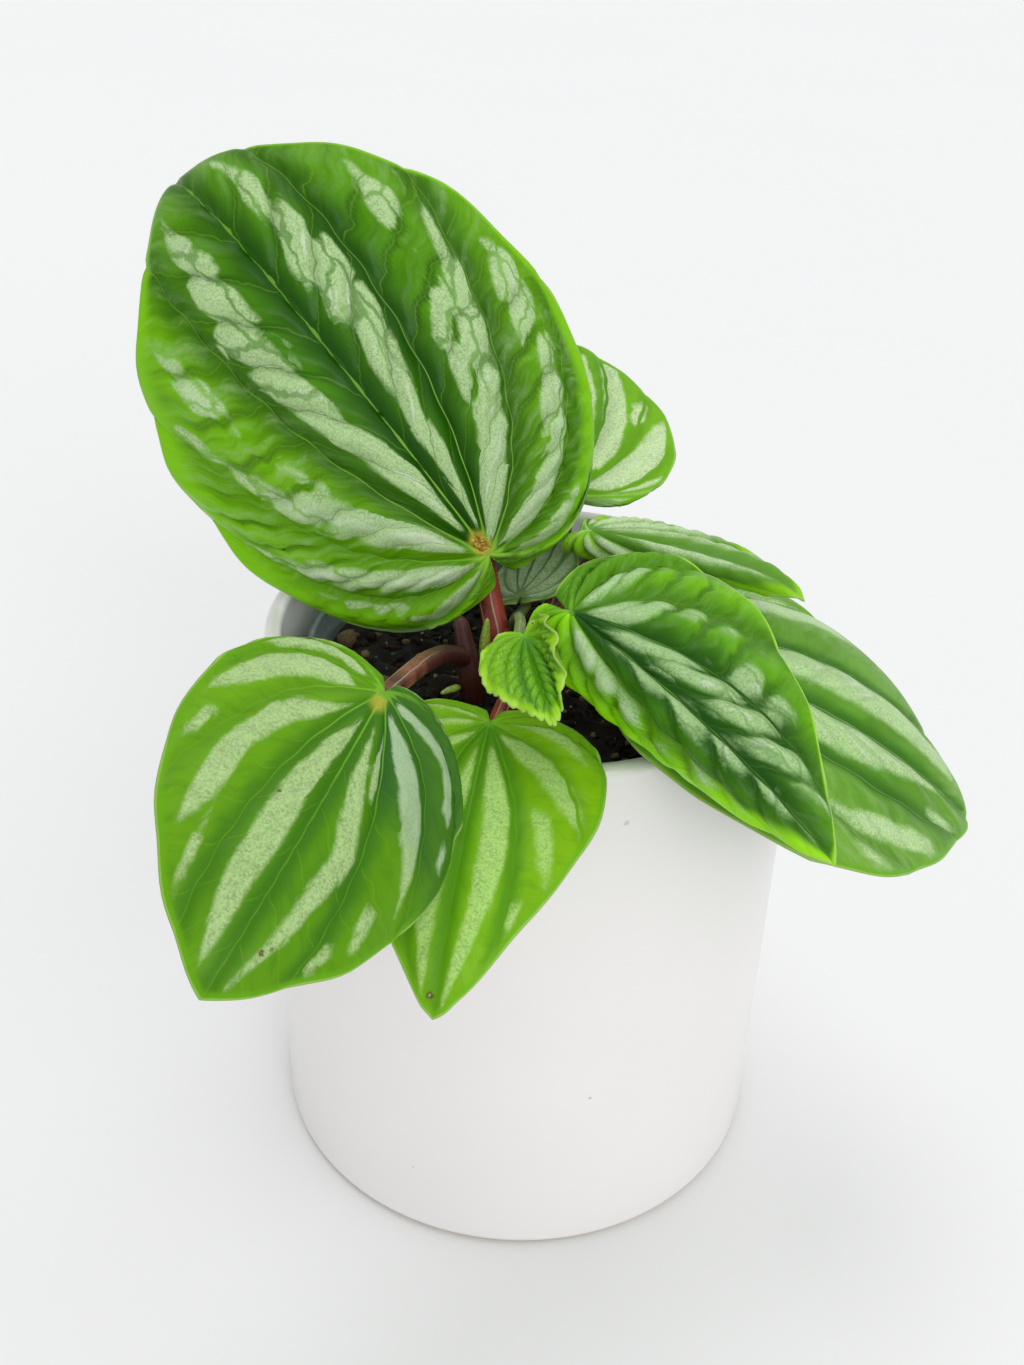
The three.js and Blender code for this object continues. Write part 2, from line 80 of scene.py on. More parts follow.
# The blades, as in the part but for leaf_young, where the part folds the left half by 58 degrees and
# has a pleat of .8 and teeth of .05. Quilting, waves and tucks are added here. base is where the petiole
# meets the blade. heading, rise and roll aim it, arch and hook bend it along the midrib, and fold and
# curl bend its left and its right half, all in degrees. lobe, widest and tip_width shape the margin.
BLADE_KEYS = (
    "base heading rise roll length left right arch hook fold curl lobe widest tip_width pleat quilt cells "
    "look slot"
).split()
BLADES = {
    "leaf_large": ((-11.2, -3.2, 158.6), -88, 54, -61, 114, 52, 50, 28, 60, (-16, 3), (-38, -26), .09,
        .36, .54, 2.2, 1.9, 8, "glossy", "leaf_green"),
    "leaf_lower_left": ((-26.8, -74.6, 165.5), -167, -6, -31, 66, 30, 29, 31, 17, (-8, -3), (-34, -12),
        .1, .29, .54, .7, .3, 7, "satin", "leaf_green"),
    "leaf_lower_middle": ((-8.1, -53.9, 146.6), -174, 1, -3, 63, 25, 26, 57, 8, (0, 0), (-14, -8), .13,
        .23, .24, .7, .3, 7, "fresh", "leaf_green"),
    "leaf_right_front": ((6.8, -49.9, 170.2), 135, -8, 22, 70, 29.5, 20, 34, 9, (-6, -55), (-15, -54),
        .13, .21, .24, 1.6, 1.6, 6, "dark_gloss", "leaf_green"),
    "leaf_right_back": ((23.1, -31, 152.4), 95, -8, 13, 90, 42, 43.5, 44, -3, (-3, 0), (-18, -3), .12,
        .39, .35, 1.6, .8, 6, "sage", "leaf_pale"),
    "leaf_upper_right": ((11.1, 3.4, 161.9), 115, 7, 3, 52, 24, 14, 16, 25, (-7, -112), (-25, -59), .14,
        .3, .3, 1.2, .5, 8, "mild", "leaf_pale"),
    "leaf_back": ((4.3, 20, 163.8), 3, 18, -5, 58, 29, 29, 1, 1, (-4, -2), (-12, -12), .04, .3, .29, .8,
        .3, 6, "pale", "leaf_pale"),
    "leaf_shaded": ((-3.6, .4, 146.5), 12, 17, -19, 26, 12, 12, 15, 15, (-8, 0), (-18, -5), .11, .3,
        .28, .6, .15, 5, "grey", "leaf_pale"),
    "leaf_young": ((-1.9, -53.2, 166.4), 166, -7, 12, 23.5, 8, 10, 8, 12, (74, -2), (3, -9), .13, .29,
        .29, .5, 1.1, 8, "lime", "leaf_lime"),
}

# What else a blade has. Its pattern is laid out by phase, which counts the main veins out from the
# midrib and is negative on the right half, and by reach, from 0 at the petiole to 1 at the margin.
# mark is how strong the brown mark at the petiole is, star widens the veins there, and slim narrows the
# stripes. teeth, ruffle and scallop wave the margin, and drift moves a vein outwards by that phase.
# tuck draws the margin in by that share, lime is the width of the lime margin in millimetres, and bright
# is how bright the green is, each as a list of (phase, value). dim is the phase where a painted shade,
# a darker bluish part where the blade turns away from the light, starts, at reach .2 and at .9, and
# spots are dry marks as (phase, reach, size in millimetres).
DETAIL_DEFAULTS = {
    "mark": 0, "star": .1, "slim": 1, "teeth": 0, "ruffle": .2, "scallop": .005, "drift": {},
    "spots": (), "tuck": [(0, 0)], "lime": [(0, 1.8)], "dim": (9, 9),
    "bright": [(-2.2, 1), (-.9, 0), (.9, 0), (2.2, 1)],
}
DETAILS = {
    "leaf_large": {"mark": 1, "star": .9, "ruffle": .4, "scallop": .007,
        "drift": {1: .08, 2: .28, 3: .1, -1: .05, -2: -.1, -3: -.2},
        "lime": [(-4.6, 2), (-4, 5), (-3.4, 7), (-3, 3), (-2.4, 1.2), (-.5, .8), (.4, .8), (1.2, 5),
                 (2, 9), (3.4, 9), (4.2, 4), (4.8, 2)],
        "bright": [(-2.6, .65), (-.9, 0), (.6, 0), (1.5, 1)]},
    "leaf_lower_left": {"slim": .86, "mark": .5, "star": .4, "ruffle": .4, "scallop": .005,
        "drift": {1: .12, 2: .4, 3: .45, -2: -.3, -3: -.4}, "dim": (.5, 2.0),
        "bright": [(-2, 1), (-.6, .1), (.9, 0), (2.2, .8)],
        "spots": [(.34, .862, .7), (.44, .85, .6), (-.73, .49, .6)]},
    "leaf_lower_middle": {"slim": .86, "drift": {1: .3, 2: .6, 3: .6},
        "tuck": [(-2, 0), (-1, -.015), (-.5, -.025), (0, -.012), (.5, -.035), (1, -.035), (2, 0)],
        "spots": [(-.2, .945, .8)]},
    "leaf_right_front": {"star": -.28, "ruffle": .35, "scallop": .007,
        "drift": {1: .12, 2: .42, 3: .38, -1: -.2, -2: -.35},
        "lime": [(-4.4, 2), (-3.4, 10), (-2.6, 16), (-2.1, 14), (-1.6, 10), (-.8, 6), (-.3, 3),
                 (0, 1.2), (.4, .6), (4.6, .4)],
        "bright": [(-1.4, 1), (-.9, .6), (-.4, 0), (.9, 0), (1.5, .35), (2.4, .7)]},
    "leaf_right_back": {"drift": {1: .38, 2: .85, 3: .5, -1: .05},
        "tuck": [(-5, .08), (-4, .09), (-3, .05), (-2, 0), (-1, 0), (-.4, .014), (0, .034),
                 (.4, .014), (1, 0)]},
    "leaf_upper_right": {"star": -.25, "ruffle": .5, "scallop": .008,
        "tuck": [(0, 0), (.6, .02), (1, .08), (2, .28), (3, .42), (4, .55), (5, .55)],
        "lime": [(-4.5, 5), (-3, 11), (-1.5, 10), (-.5, 4), (0, 2), (4, 1.5)]},
    "leaf_back": {"drift": {-2: .05}, "tuck": [(-5, .1), (-3.5, .1), (-2.4, .03), (-1.5, 0)]},
    "leaf_young": {"teeth": .045, "ruffle": .6, "scallop": .015},
}

# Silver stripes. Each row is one stripe from the petiole outwards: reach, phase of its middle and half
# width as phase, again and again, all in hundredths.
STRIPES = {
    "leaf_large": [
        (10, 40, 6,  20, 35, 18,  30, 45, 20,  40, 60, 17,  52, 62, 27,  66, 70, 27,  80, 55, 17,
         95, 50, 3),
        (7, 150, 10,  15, 150, 28,  25, 160, 20,  40, 175, 18,  55, 192, 16,  70, 200, 11,  90, 212, 2),
        (44, 145, 3,  50, 152, 8,  57, 156, 2),
        (68, 150, 3,  78, 160, 20,  86, 160, 12,  91, 160, 2),
        (7, 260, 12,  15, 260, 30,  30, 262, 24,  45, 270, 20,  58, 282, 18,  72, 297, 10,  88, 310, 2),
        (5, 390, 30,  12, 395, 60,  24, 400, 62,  34, 405, 50,  40, 375, 25,  46, 350, 3),
        (40, 330, 3,  50, 330, 13,  60, 330, 10,  74, 325, 2),
        (8, -55, 5,  20, -50, 18,  30, -45, 20,  40, -50, 22,  52, -60, 29,  62, -55, 27,  75, -55, 14,
         94, -50, 2),
        (5, -160, 20,  15, -160, 29,  28, -170, 24,  42, -180, 19,  60, -186, 18,  75, -193, 15,
         88, -198, 7,  95, -202, 2),
        (34, -150, 2,  50, -145, 8,  66, -160, 2),
        (77, -150, 3,  86, -160, 17,  94, -160, 4),
        (7, -275, 20,  15, -276, 34,  28, -280, 27,  45, -293, 18,  65, -298, 15,  86, -302, 2),
        (40, -260, 2,  55, -275, 12,  75, -285, 10,  80, -290, 2),
        (66, -250, 4,  78, -262, 20,  90, -272, 24,  96, -280, 4),
        (6, -410, 30,  14, -410, 62,  26, -395, 42,  40, -368, 17,  52, -358, 2),
    ],
    "leaf_lower_left": [
        (15, 40, 5,  30, 43, 15,  45, 60, 22,  55, 77, 22,  68, 62, 20,  82, 50, 13,  97, 25, 2),
        (14, 90, 3,  25, 80, 12,  35, 85, 5),
        (11, 140, 10,  25, 162, 28,  42, 182, 30,  60, 198, 26,  75, 210, 17,  90, 212, 3),
        (9, 235, 30,  20, 285, 42,  35, 310, 36,  50, 320, 26,  65, 305, 24,  76, 300, 4),
        (79, 285, 3,  85, 287, 12,  92, 290, 2),
        (77, 150, 2,  83, 158, 13,  93, 160, 3),
        (88, 125, 2,  92, 125, 9,  96, 125, 2),
        (12, 400, 30,  30, 420, 50,  50, 420, 40,  65, 410, 10),
        (15, -35, 5,  25, -45, 25,  40, -55, 27,  60, -50, 30,  75, -48, 26,  88, -40, 17,  97, -32, 2),
        (14, -128, 4,  28, -155, 18,  42, -180, 24,  55, -188, 26,  61, -185, 19,  70, -180, 30,
         80, -178, 25,  91, -172, 3),
        (78, -135, 2,  85, -132, 10,  95, -125, 2),
        (12, -200, 8,  22, -250, 30,  38, -285, 36,  55, -295, 34,  70, -300, 32,  80, -300, 16,
         88, -305, 3),
        (82, -255, 3,  87, -257, 12,  92, -258, 3),
        (15, -330, 20,  30, -375, 30,  50, -380, 28,  70, -370, 20,  82, -370, 3),
    ],
    "leaf_lower_middle": [
        (14, 55, 10,  25, 62, 26,  40, 75, 36,  55, 75, 36,  70, 68, 28,  85, 50, 20,  97, 30, 4),
        (12, 150, 8,  25, 180, 28,  42, 205, 26,  60, 230, 26,  75, 245, 20,  92, 260, 2),
        (60, 172, 2,  72, 185, 17,  84, 195, 15,  95, 200, 2),
        (85, 145, 2,  90, 150, 12,  95, 150, 2),
        (12, 280, 10,  25, 305, 30,  45, 320, 32,  62, 320, 20,  76, 315, 2),
        (15, 400, 30,  35, 420, 50,  55, 420, 40,  70, 410, 10),
        (15, -35, 5,  30, -35, 20,  45, -40, 20,  60, -45, 22,  80, -52, 22,  95, -50, 3),
        (10, -130, 10,  25, -170, 25,  45, -185, 26,  70, -175, 22,  90, -170, 3),
        (12, -240, 15,  25, -270, 30,  50, -280, 30,  75, -285, 4),
        (10, -360, 30,  30, -380, 40,  60, -380, 30,  80, -380, 4),
    ],
    "leaf_right_front": [
        (12, 35, 10,  20, 62, 36,  35, 66, 36,  50, 66, 36,  65, 62, 36,  80, 70, 28,  96, 90, 4),
        (6, 125, 20,  14, 150, 36,  28, 185, 34,  42, 210, 20,  54, 220, 4),
        (52, 120, 3,  62, 135, 18,  72, 145, 22,  82, 150, 12,  88, 150, 2),
        (25, 210, 10,  45, 205, 15,  65, 210, 16,  85, 215, 4),
        (6, 250, 30,  15, 275, 40,  32, 300, 34,  50, 310, 20,  66, 320, 3),
        (10, 400, 30,  30, 420, 50,  50, 420, 10),
        (15, -20, 10,  30, -22, 20,  55, -20, 20,  75, -18, 18,  90, -15, 3),
        (6, -140, 25,  18, -150, 42,  32, -155, 34,  50, -160, 20,  70, -170, 3),
        (50, -110, 4,  64, -120, 13,  80, -135, 14,  92, -140, 3),
    ],
    "leaf_right_back": [
        (10, 60, 20,  30, 80, 40,  50, 88, 46,  70, 92, 46,  85, 88, 46,  97, 80, 30),
        (12, 210, 20,  35, 235, 35,  60, 250, 38,  80, 260, 38,  98, 260, 30),
        (10, 320, 20,  40, 350, 40,  70, 360, 30,  90, 360, 5),
        (15, -40, 20,  38, -45, 36,  55, -40, 34,  70, -28, 26,  84, -20, 4),
        (10, -130, 20,  25, -160, 34,  45, -175, 25,  62, -185, 15,  72, -190, 3),
        (76, -180, 4,  84, -168, 24,  93, -155, 20,  97, -150, 3),
        (10, -260, 20,  30, -260, 36,  50, -250, 25,  70, -250, 13,  88, -255, 3),
        (12, -360, 20,  30, -360, 36,  55, -350, 20,  75, -350, 3),
        (86, -80, 3,  92, -82, 10,  96, -85, 2),
        (90, -215, 3,  94, -220, 10,  97, -220, 2),
    ],
    "leaf_upper_right": [
        (8, 60, 20,  30, 70, 30,  60, 75, 32,  90, 75, 10),
        (8, 150, 20,  30, 160, 35,  60, 160, 35,  92, 160, 10),
        (8, 250, 20,  30, 260, 35,  60, 260, 35,  90, 260, 10),
        (10, 350, 30,  40, 360, 40,  80, 360, 10),
        (10, -20, 10,  30, -25, 22,  60, -25, 20,  85, -25, 5),
        (10, -150, 20,  30, -160, 35,  60, -160, 35,  85, -160, 10),
        (10, -260, 20,  40, -260, 35,  75, -260, 10),
    ],
    "leaf_back": [
        (12, 50, 10,  35, 60, 36,  65, 60, 36,  95, 50, 5),
        (12, 150, 10,  35, 160, 32,  65, 170, 30,  92, 170, 5),
        (12, 250, 10,  35, 260, 32,  65, 270, 30,  90, 270, 5),
        (12, 360, 20,  40, 380, 40,  70, 380, 30,  85, 380, 5),
        (12, -60, 10,  30, -62, 32,  45, -50, 26,  70, -42, 24,  93, -35, 4),
        (12, -130, 15,  30, -140, 36,  50, -136, 40,  70, -125, 36,  97, -110, 20),
        (75, -180, 3,  83, -190, 16,  92, -200, 3),
        (12, -230, 20,  30, -245, 40,  50, -255, 42,  70, -260, 40,  87, -260, 30,  96, -250, 3),
        (15, -340, 20,  40, -350, 30,  70, -350, 25,  95, -350, 10),
    ],
    "leaf_shaded": [
        (5, side * (vein + 50), 36,  50, side * (vein + 55), 36,  97, side * (vein + 50), 25)
        for vein in range(0, 500, 100) for side in (-1, 1)
    ],
}
LEAVES = {
    name: {**DETAIL_DEFAULTS, **dict(zip(BLADE_KEYS, row)), **DETAILS.get(name, {}),
           "stripes": STRIPES.get(name, ())}
    for name, row in BLADES.items()
}

# Stems: where they stand, their radius and the paths of their petioles, as in the part, where only
# the side stem's shoot is 1.2 mm shorter. taper thins the shoot towards its tip by that share, and
# along scales its length for the material, which makes its dark part, painted shade, longer. meets is
# where a petiole ends, from its blade's base along, to the left and up.
STEMS = {
    "stem_side": {
        "foot": (-13.5, -17.5), "radius": 2.8, "slot": "dark_stem", "taper": .35, "along": .45,
        "shoot": [(-13.5, -17.5, 131), (-14.6, -16.5, 139), (-16.8, -13.4, 148.2)],
        "petioles": {
            "leaf_lower_left": {
                "radius": 2.1,
                "path": [(-15, -16, 139), (-18.5, -25, 145), (-21.8, -38, 151), (-26, -62, 159.5)],
            },
        },
    },
    "stem_crown": {
        "foot": (-3.5, -17), "radius": 4.6, "slot": "red_stem",
        "shoot": [(-3.5, -17, 131), (-3.5, -17, 133.4)],
        "petioles": {
            "leaf_large": {
                "radius": 2.9, "meets": (.5, -.5, -.5),
                "path": [(-4.8, -16, 131), (-8.5, -7.5, 141), (-11.2, -.9, 149)],
            },
            "leaf_lower_middle": {
                "radius": 1.8, "path": [(-4, -18.5, 131), (-4.6, -26, 137), (-5.6, -38, 141.5)],
            },
            "leaf_right_front": {
                "radius": 2, "path": [(-2, -18.5, 131), (2, -27, 146), (5.5, -41, 159)],
            },
            "leaf_right_back": {
                "radius": 2.2,
                "path": [(-2, -17, 131), (5.6, -20.5, 136.5), (10.8, -22.5, 140.5), (18, -26, 146.5)],
            },
            "leaf_upper_right": {
                "radius": 1.7, "meets": (1, 3.5, -.6),
                "path": [(-2, -15, 132), (.5, -9, 137), (6, 4, 142), (11.6, 11.5, 150), (14, 10, 156)],
            },
            "leaf_back": {
                "radius": 1.7,
                "path": [(-3, -14.5, 132), (-.5, -5, 136.5), (3.2, 12, 139.5), (6.3, 25, 149),
                         (5.6, 25, 157)],
            },
        },
    },
    "stem_young": {
        "foot": (-4.8, -1.5), "radius": 1.6, "slot": "pale_stem",
        "shoot": [(-4.8, -1.5, 131), (-4.8, -1.5, 137)],
        "petioles": {
            "leaf_shaded": {"radius": 1.3, "path": [(-4.8, -1.5, 136), (-4.8, -1.5, 141)]},
            "leaf_young": {
                "radius": 1.2,
                "path": [(-4.8, -1.5, 137), (-4, -6, 144), (-3.2, -20, 151), (-3, -42, 159)],
            },
        },
    },
}

# Each stem's material: its name, dark and light tone, stripe, count of stripes and dark length; the
# dark part near the soil is painted shade.
STEM_LOOKS = {
    "stem_side": ("dark_stem", (.06, .013, .009), (.3, .1, .065), (.46, .34, .24), 3, 38),
    "stem_crown": ("red_stem", (.12, .012, .008), (.36, .045, .02), (.5, .36, .24), 3, 16),
    "stem_young": ("pale_stem", (.16, .24, .05), (.3, .4, .12), (.42, .5, .22), 3, 12),
}

BUDS = {
    "bud_low": {"root": (-16, -19.4, 133.6), "tip": (-20.2, -22, 133.2), "radius": .9},
    "bud_side": {"root": (-11.4, -14.8, 138.6), "tip": (-10.6, -12.4, 147.4), "radius": 1.1},
    "bud_spike": {"root": (9.6, 43, 126.5), "tip": (9, 42.6, 140.6), "radius": .8},
}

# ---------------------------------------------------------------- camera, floor and light

CAMERA = {
    "place": (0, -302.9, 309.2), "pitch": 31.52, "yaw": -.92, "roll": 2.06, "lens": 39.56, "sensor": 36,
    "clip": (.01, 50),
}
FLOOR_HALF = 40.0
ROOM = {"color": (.985, .99, 1, 1), "strength": .64}
# Each light's direction, strength and breadth in degrees.
LIGHTS = {
    "window": ((.6, -.45, .66), .48, 60),
    "overhead": ((-.12, .12, .98), .52, 30),
    "front": ((.3, -.83, .44), .66, 28),
    "back": ((.3, .62, .7), .26, 40),
}


def add_object(name, data):
    item = bpy.data.objects.new(name, data)
    bpy.context.scene.collection.objects.link(item)
    return item


def add_camera():
    """The photograph's viewpoint: pitch is how far it looks down, roll tilts the picture."""
    pitch, yaw, roll = (CAMERA[key] * DEGREE for key in ("pitch", "yaw", "roll"))
    ahead = Vector((sin(yaw) * cos(pitch), cos(yaw) * cos(pitch), -sin(pitch)))
    level = Vector((cos(yaw), -sin(yaw), 0))
    upright = level.cross(ahead)
    right = cos(roll) * level + sin(roll) * upright
    up = -sin(roll) * level + cos(roll) * upright
    data = bpy.data.cameras.new("photo_camera")
    data.lens, data.sensor_width = CAMERA["lens"], CAMERA["sensor"]
    data.clip_start, data.clip_end = CAMERA["clip"]
    camera = add_object("photo_camera", data)
    rows = [(right[i], up[i], -ahead[i], CAMERA["place"][i] * MM) for i in range(3)]
    camera.matrix_world = Matrix(rows + [(0, 0, 0, 1)])
    bpy.context.scene.camera = camera


def add_light(name, towards, strength, angle):
    """A broad soft light, as from a window far off in that direction."""
    data = bpy.data.lights.new(name, "SUN")
    data.energy = strength
    data.angle = angle * DEGREE
    light = add_object(name, data)
    light.rotation_euler = Vector(towards).to_track_quat("Z", "Y").to_euler()


def add_studio():
    """A pale floor, an even pale room and soft light from a few sides."""
    mesh = bpy.data.meshes.new("floor")
    corners = [(x * FLOOR_HALF, y * FLOOR_HALF, 0) for x, y in ((-1, -1), (1, -1), (1, 1), (-1, 1))]
    mesh.from_pydata(corners, [], [(0, 1, 2, 3)])
    floor = add_object("floor", mesh)
    graph = Graph("floor_paper", roughness=.9, specular=.1)
    graph.color(graph.mix(graph.noise(3, 2), (.855, .86, .86), (.875, .88, .875)))
    mesh.materials.append(graph.material)
    world = bpy.data.worlds.new("room")
    world.use_nodes = True
    sockets = world.node_tree.nodes["Background"].inputs
    sockets["Color"].default_value, sockets["Strength"].default_value = ROOM["color"], ROOM["strength"]
    bpy.context.scene.world = world
    for name, light in LIGHTS.items():
        add_light(name, *light)
    bpy.context.scene.view_settings.view_transform = "Standard"


# ---------------------------------------------------------------- materials


class Graph:
    """A short way to write a material's nodes. Each call adds a node and returns its output."""

    def __init__(self, name, **sockets):
        self.material = bpy.data.materials.new(name)
        self.material.use_nodes = True
        self.tree = self.material.node_tree
        self.shader = self.tree.nodes["Principled BSDF"]
        names = {"roughness": "Roughness", "specular": "Specular IOR Level", "coat": "Coat Weight",
                 "coat_roughness": "Coat Roughness"}
        for key, value in sockets.items():
            self.shader.inputs[names[key]].default_value = value

    def put(self, socket, value):
        if isinstance(value, (int, float)):
            socket.default_value = value
        elif isinstance(value, tuple):
            socket.default_value = value if len(value) == len(socket.default_value) else (*value, 1)
        else:
            self.tree.links.new(value, socket)

    def add(self, kind, output, inputs, **settings):
        node = self.tree.nodes.new(kind)
        for key, value in settings.items():
            setattr(node, key, value)
        for key, value in inputs.items():
            self.put(node.inputs[key], value)
        return node.outputs[output]

    def attribute(self, name, output="Fac"):
        return self.add("ShaderNodeAttribute", output, {}, attribute_name=name)

    def vector(self, operation, output, *values):
        return self.add("ShaderNodeVectorMath", output, dict(enumerate(values)), operation=operation)

    def stretched(self, vector, stretch):
        return self.vector("MULTIPLY", "Vector", vector, stretch)

    def place(self):
        return self.add("ShaderNodeTexCoord", "Object", {})

    def noise(self, scale, detail=3, rough=.5, vector=None):
        inputs = {"Scale": scale, "Detail": detail, "Roughness": rough}
        return self.add("ShaderNodeTexNoise", "Fac", {**inputs, "Vector": vector or self.place()})

    def cells(self, scale, vector=None, feature="F1"):
        inputs = {"Scale": scale, "Vector": vector or self.place()}
        return self.add("ShaderNodeTexVoronoi", "Distance", inputs, feature=feature)

    def math(self, operation, a, b):
        return self.add("ShaderNodeMath", 0, {0: a, 1: b}, operation=operation)

    def times(self, a, *others):
        for b in others:
            a = self.math("MULTIPLY", a, b)
        return a

    def plus(self, a, b):
        return self.math("ADD", a, b)

    def minus(self, a, b):
        return self.math("SUBTRACT", a, b)

    def line(self, count, wide, narrow):
        """1 along the lines where count is a whole number, 0 beyond wide."""
        return self.step(self.math("PINGPONG", count, .5), wide, narrow)

    def away(self, spot, ragged=0, scale=1):
        """Distance to a place, with noise added for a ragged edge."""
        distance = self.vector("DISTANCE", "Value", self.place(), spot)
        return self.plus(distance, self.times(self.noise(scale, 2), ragged)) if ragged else distance

    def step(self, value, low, high):
        """0 at low and 1 at high, smoothly; low may be the larger one."""
        inputs = {"Value": value, "From Min": low, "From Max": high}
        return self.add("ShaderNodeMapRange", 0, inputs, interpolation_type="SMOOTHSTEP")

    def mix(self, share, a, b):
        """a where share is 0 and b where it is 1; 6, 7 and 2 are the mix node's colour sockets."""
        node = self.tree.nodes.new("ShaderNodeMix")
        node.data_type = "RGBA"
        for socket, value in (("Factor", share), (6, a), (7, b)):
            self.put(node.inputs[socket], value)
        return node.outputs[2]

    def color(self, value):
        self.put(self.shader.inputs["Base Color"], value)

    def roughness(self, value):
        self.put(self.shader.inputs["Roughness"], value)

    def bump(self, height, distance, strength):
        """height is 0 to 1 and stands for that many metres of distance."""
        inputs = {"Height": height, "Distance": distance, "Strength": strength}
        self.put(self.shader.inputs["Normal"], self.add("ShaderNodeBump", "Normal", inputs))


# Colours of the upper face: between the stripes (deep beside the veins, green further off, bright in
# the outer parts), in the stripes, at the margin and along the veins, and then of the lower face. The
# shares after them say how strong each of the pattern's effects is; tops draws the silver off the
# grooves onto the pillow tops, as painted shade and painted sheen, shine is the painted highlight in
# the stripes, and bloom the faint silver, partly a painted sheen, on the ridges.
LOOK_KEYS = (
    "deep green silver bright margin vein under deep_width line roughness coat net lobes ragged tops soft "
    "solid shine side bloom"
).split()
LOOK_ROWS = {
    "glossy": ((.008, .062, .001), (.06, .225, .002), (.35, .52, .225), (.165, .45, .001),
        (.2, .54, .002), (.16, .36, .02), (.16, .3, .09), 6.5, .75, .24, .05, .65, .17, .1, .1, .035,
        .95, .8, .3, .42),
    "dark_gloss": ((.008, .06, .004), (.055, .23, .003), (.33, .53, .21), (.22, .6, .004),
        (.3, .74, .004), (.1, .27, .008), (.16, .36, .05), 6, .5, .25, .06, .4, .2, .2, .3, .12, .8,
        .75, .2, .2),
    "satin": ((.035, .15, .003), (.085, .265, .002), (.35, .5, .2), (.14, .36, .003), (.12, .36, .003),
        (.15, .36, .012), (.16, .3, .09), 3.5, .45, .4, .05, .1, .07, .14, 0, .055, .85, .2, .25, 0),
    "fresh": ((.07, .25, .002), (.17, .43, .003), (.36, .58, .15), (.22, .48, .004), (.15, .42, .006),
        (.12, .34, .012), (.2, .38, .1), 3, .35, .42, .05, .1, .08, .16, 0, .08, .82, .15, .12, 0),
    "pale": ((.07, .25, .002), (.145, .41, .001), (.5, .66, .33), (.17, .44, .002), (.15, .42, .006),
        (.12, .34, .012), (.2, .38, .1), 3, .35, .42, .05, .1, .08, .16, 0, .06, .9, .4, .12, 0),
    "sage": ((.03, .14, .004), (.115, .32, .02), (.38, .57, .24), (.17, .38, .04), (.13, .38, .01),
        (.34, .5, .22), (.16, .34, .06), 4, .45, .36, .1, .15, .1, .22, .1, .08, .9, .6, .03, .4),
    "mild": ((.09, .26, .015), (.19, .43, .05), (.5, .66, .36), (.17, .4, .03), (.26, .6, .006),
        (.34, .5, .22), (.16, .34, .06), 4, .45, .36, .1, .15, .1, .22, .1, .16, .8, .6, .03, 0),
    "grey": ((.12, .23, .07), (.15, .28, .09), (.29, .41, .21), (.16, .3, .09), (.12, .25, .05),
        (.08, .17, .05), (.14, .22, .09), 1.5, .5, .5, 0, .1, .05, .1, 0, .05, .9, 0, .1, 0),
    "lime": ((.06, .25, .001), (.16, .45, .001), (.3, .6, .05), (.22, .53, .001), (.33, .68, .002),
        (.26, .58, .01), (.22, .42, .03), 1.5, .2, .16, .4, .1, .05, .1, 0, .05, .9, 0, .1, 0),
}
LEAF_LOOKS = {look: dict(zip(LOOK_KEYS, row)) for look, row in LOOK_ROWS.items()}


def tinted(color, factor, more=0):
    """A darker or a brighter colour."""
    return tuple(min(c * factor + more, 1) for c in color)


def leaf_green(g, v, shade, outer, groove, streak, ragged, broad):
    """Between the stripes: deep by the veins, painted shade in the grooves, bright further out."""
    green = g.mix(g.step(broad, .35, .65), tinted(v["green"], .8), v["green"])
    green = g.mix(outer, green, v["bright"])
    deep_share = g.minus(.92, g.times(outer, .6))
    green = g.mix(g.times(g.step(shade, v["deep_width"], .4), deep_share), green, v["deep"])
    green = g.mix(g.times(g.step(streak, .45, .72), .3), green, v["deep"])
    # Faint silver on the pillow tops: partly the leaf's own silver, partly a painted sheen on the ridges.
    bloom = g.times(g.step(streak, .55, .3), g.step(groove, .6, .05), g.step(ragged, .25, .65))
    green = g.mix(g.times(bloom, v["bloom"], g.step(outer, 0, .7)), green, v["silver"])
    green = g.mix(g.times(g.step(g.attribute("lime"), .02, .8), .92), green, v["margin"])
    # Painted shade: the green darkens in the grooves between the pillows.
    return g.mix(g.times(g.step(groove, .3, 1), .5), green, tinted(v["deep"], .75))


def leaf_silver(g, v, depth, outer, groove, streak, grain):
    """Inside the stripes: grainy, with painted shade in the grooves and a painted whitish highlight
    well inside and on the outer parts.
    """
    silver = g.mix(g.step(grain, .36, .62), tinted(v["silver"], .7), tinted(v["silver"], 1.22))
    silver = g.mix(g.times(g.step(streak, .62, .4), .45), silver, tinted(v["silver"], 1.25, .06))
    # Painted shade: the silver darkens in the grooves between the pillows.
    silver = g.mix(g.times(g.step(groove, .25, 1), .45), silver, tinted(v["silver"], .5))
    # Painted highlight: the silver turns whitish well inside the stripes and on the outer parts.
    shine = g.math("MAXIMUM", g.times(outer, g.step(streak, .3, .6)), g.step(streak, .5, .66))
    return g.mix(g.times(g.step(depth, .03, .24), shine, v["shine"]), silver, (.66, .78, .56))


def leaf_marks(g, color, spots):
    """The brown mark at the petiole, and dry spots."""
    mark = g.attribute("mark")
    color = g.mix(g.step(mark, .15, .6), color, (.5, .5, .05))
    speckle = g.times(g.step(mark, .3, .75), g.step(g.noise(1700, 2), .4, .52), .9)
    color = g.mix(speckle, color, (.3, .09, .035))
    for spot, size in spots:
        away = g.away(spot, size * .9, 1800)
        color = g.mix(g.step(away, size * 1.6, size * 1.1), color, (.1, .07, .02))
        color = g.mix(g.step(away, size * 1.1, size * .8), color, (.36, .4, .2))
    return color


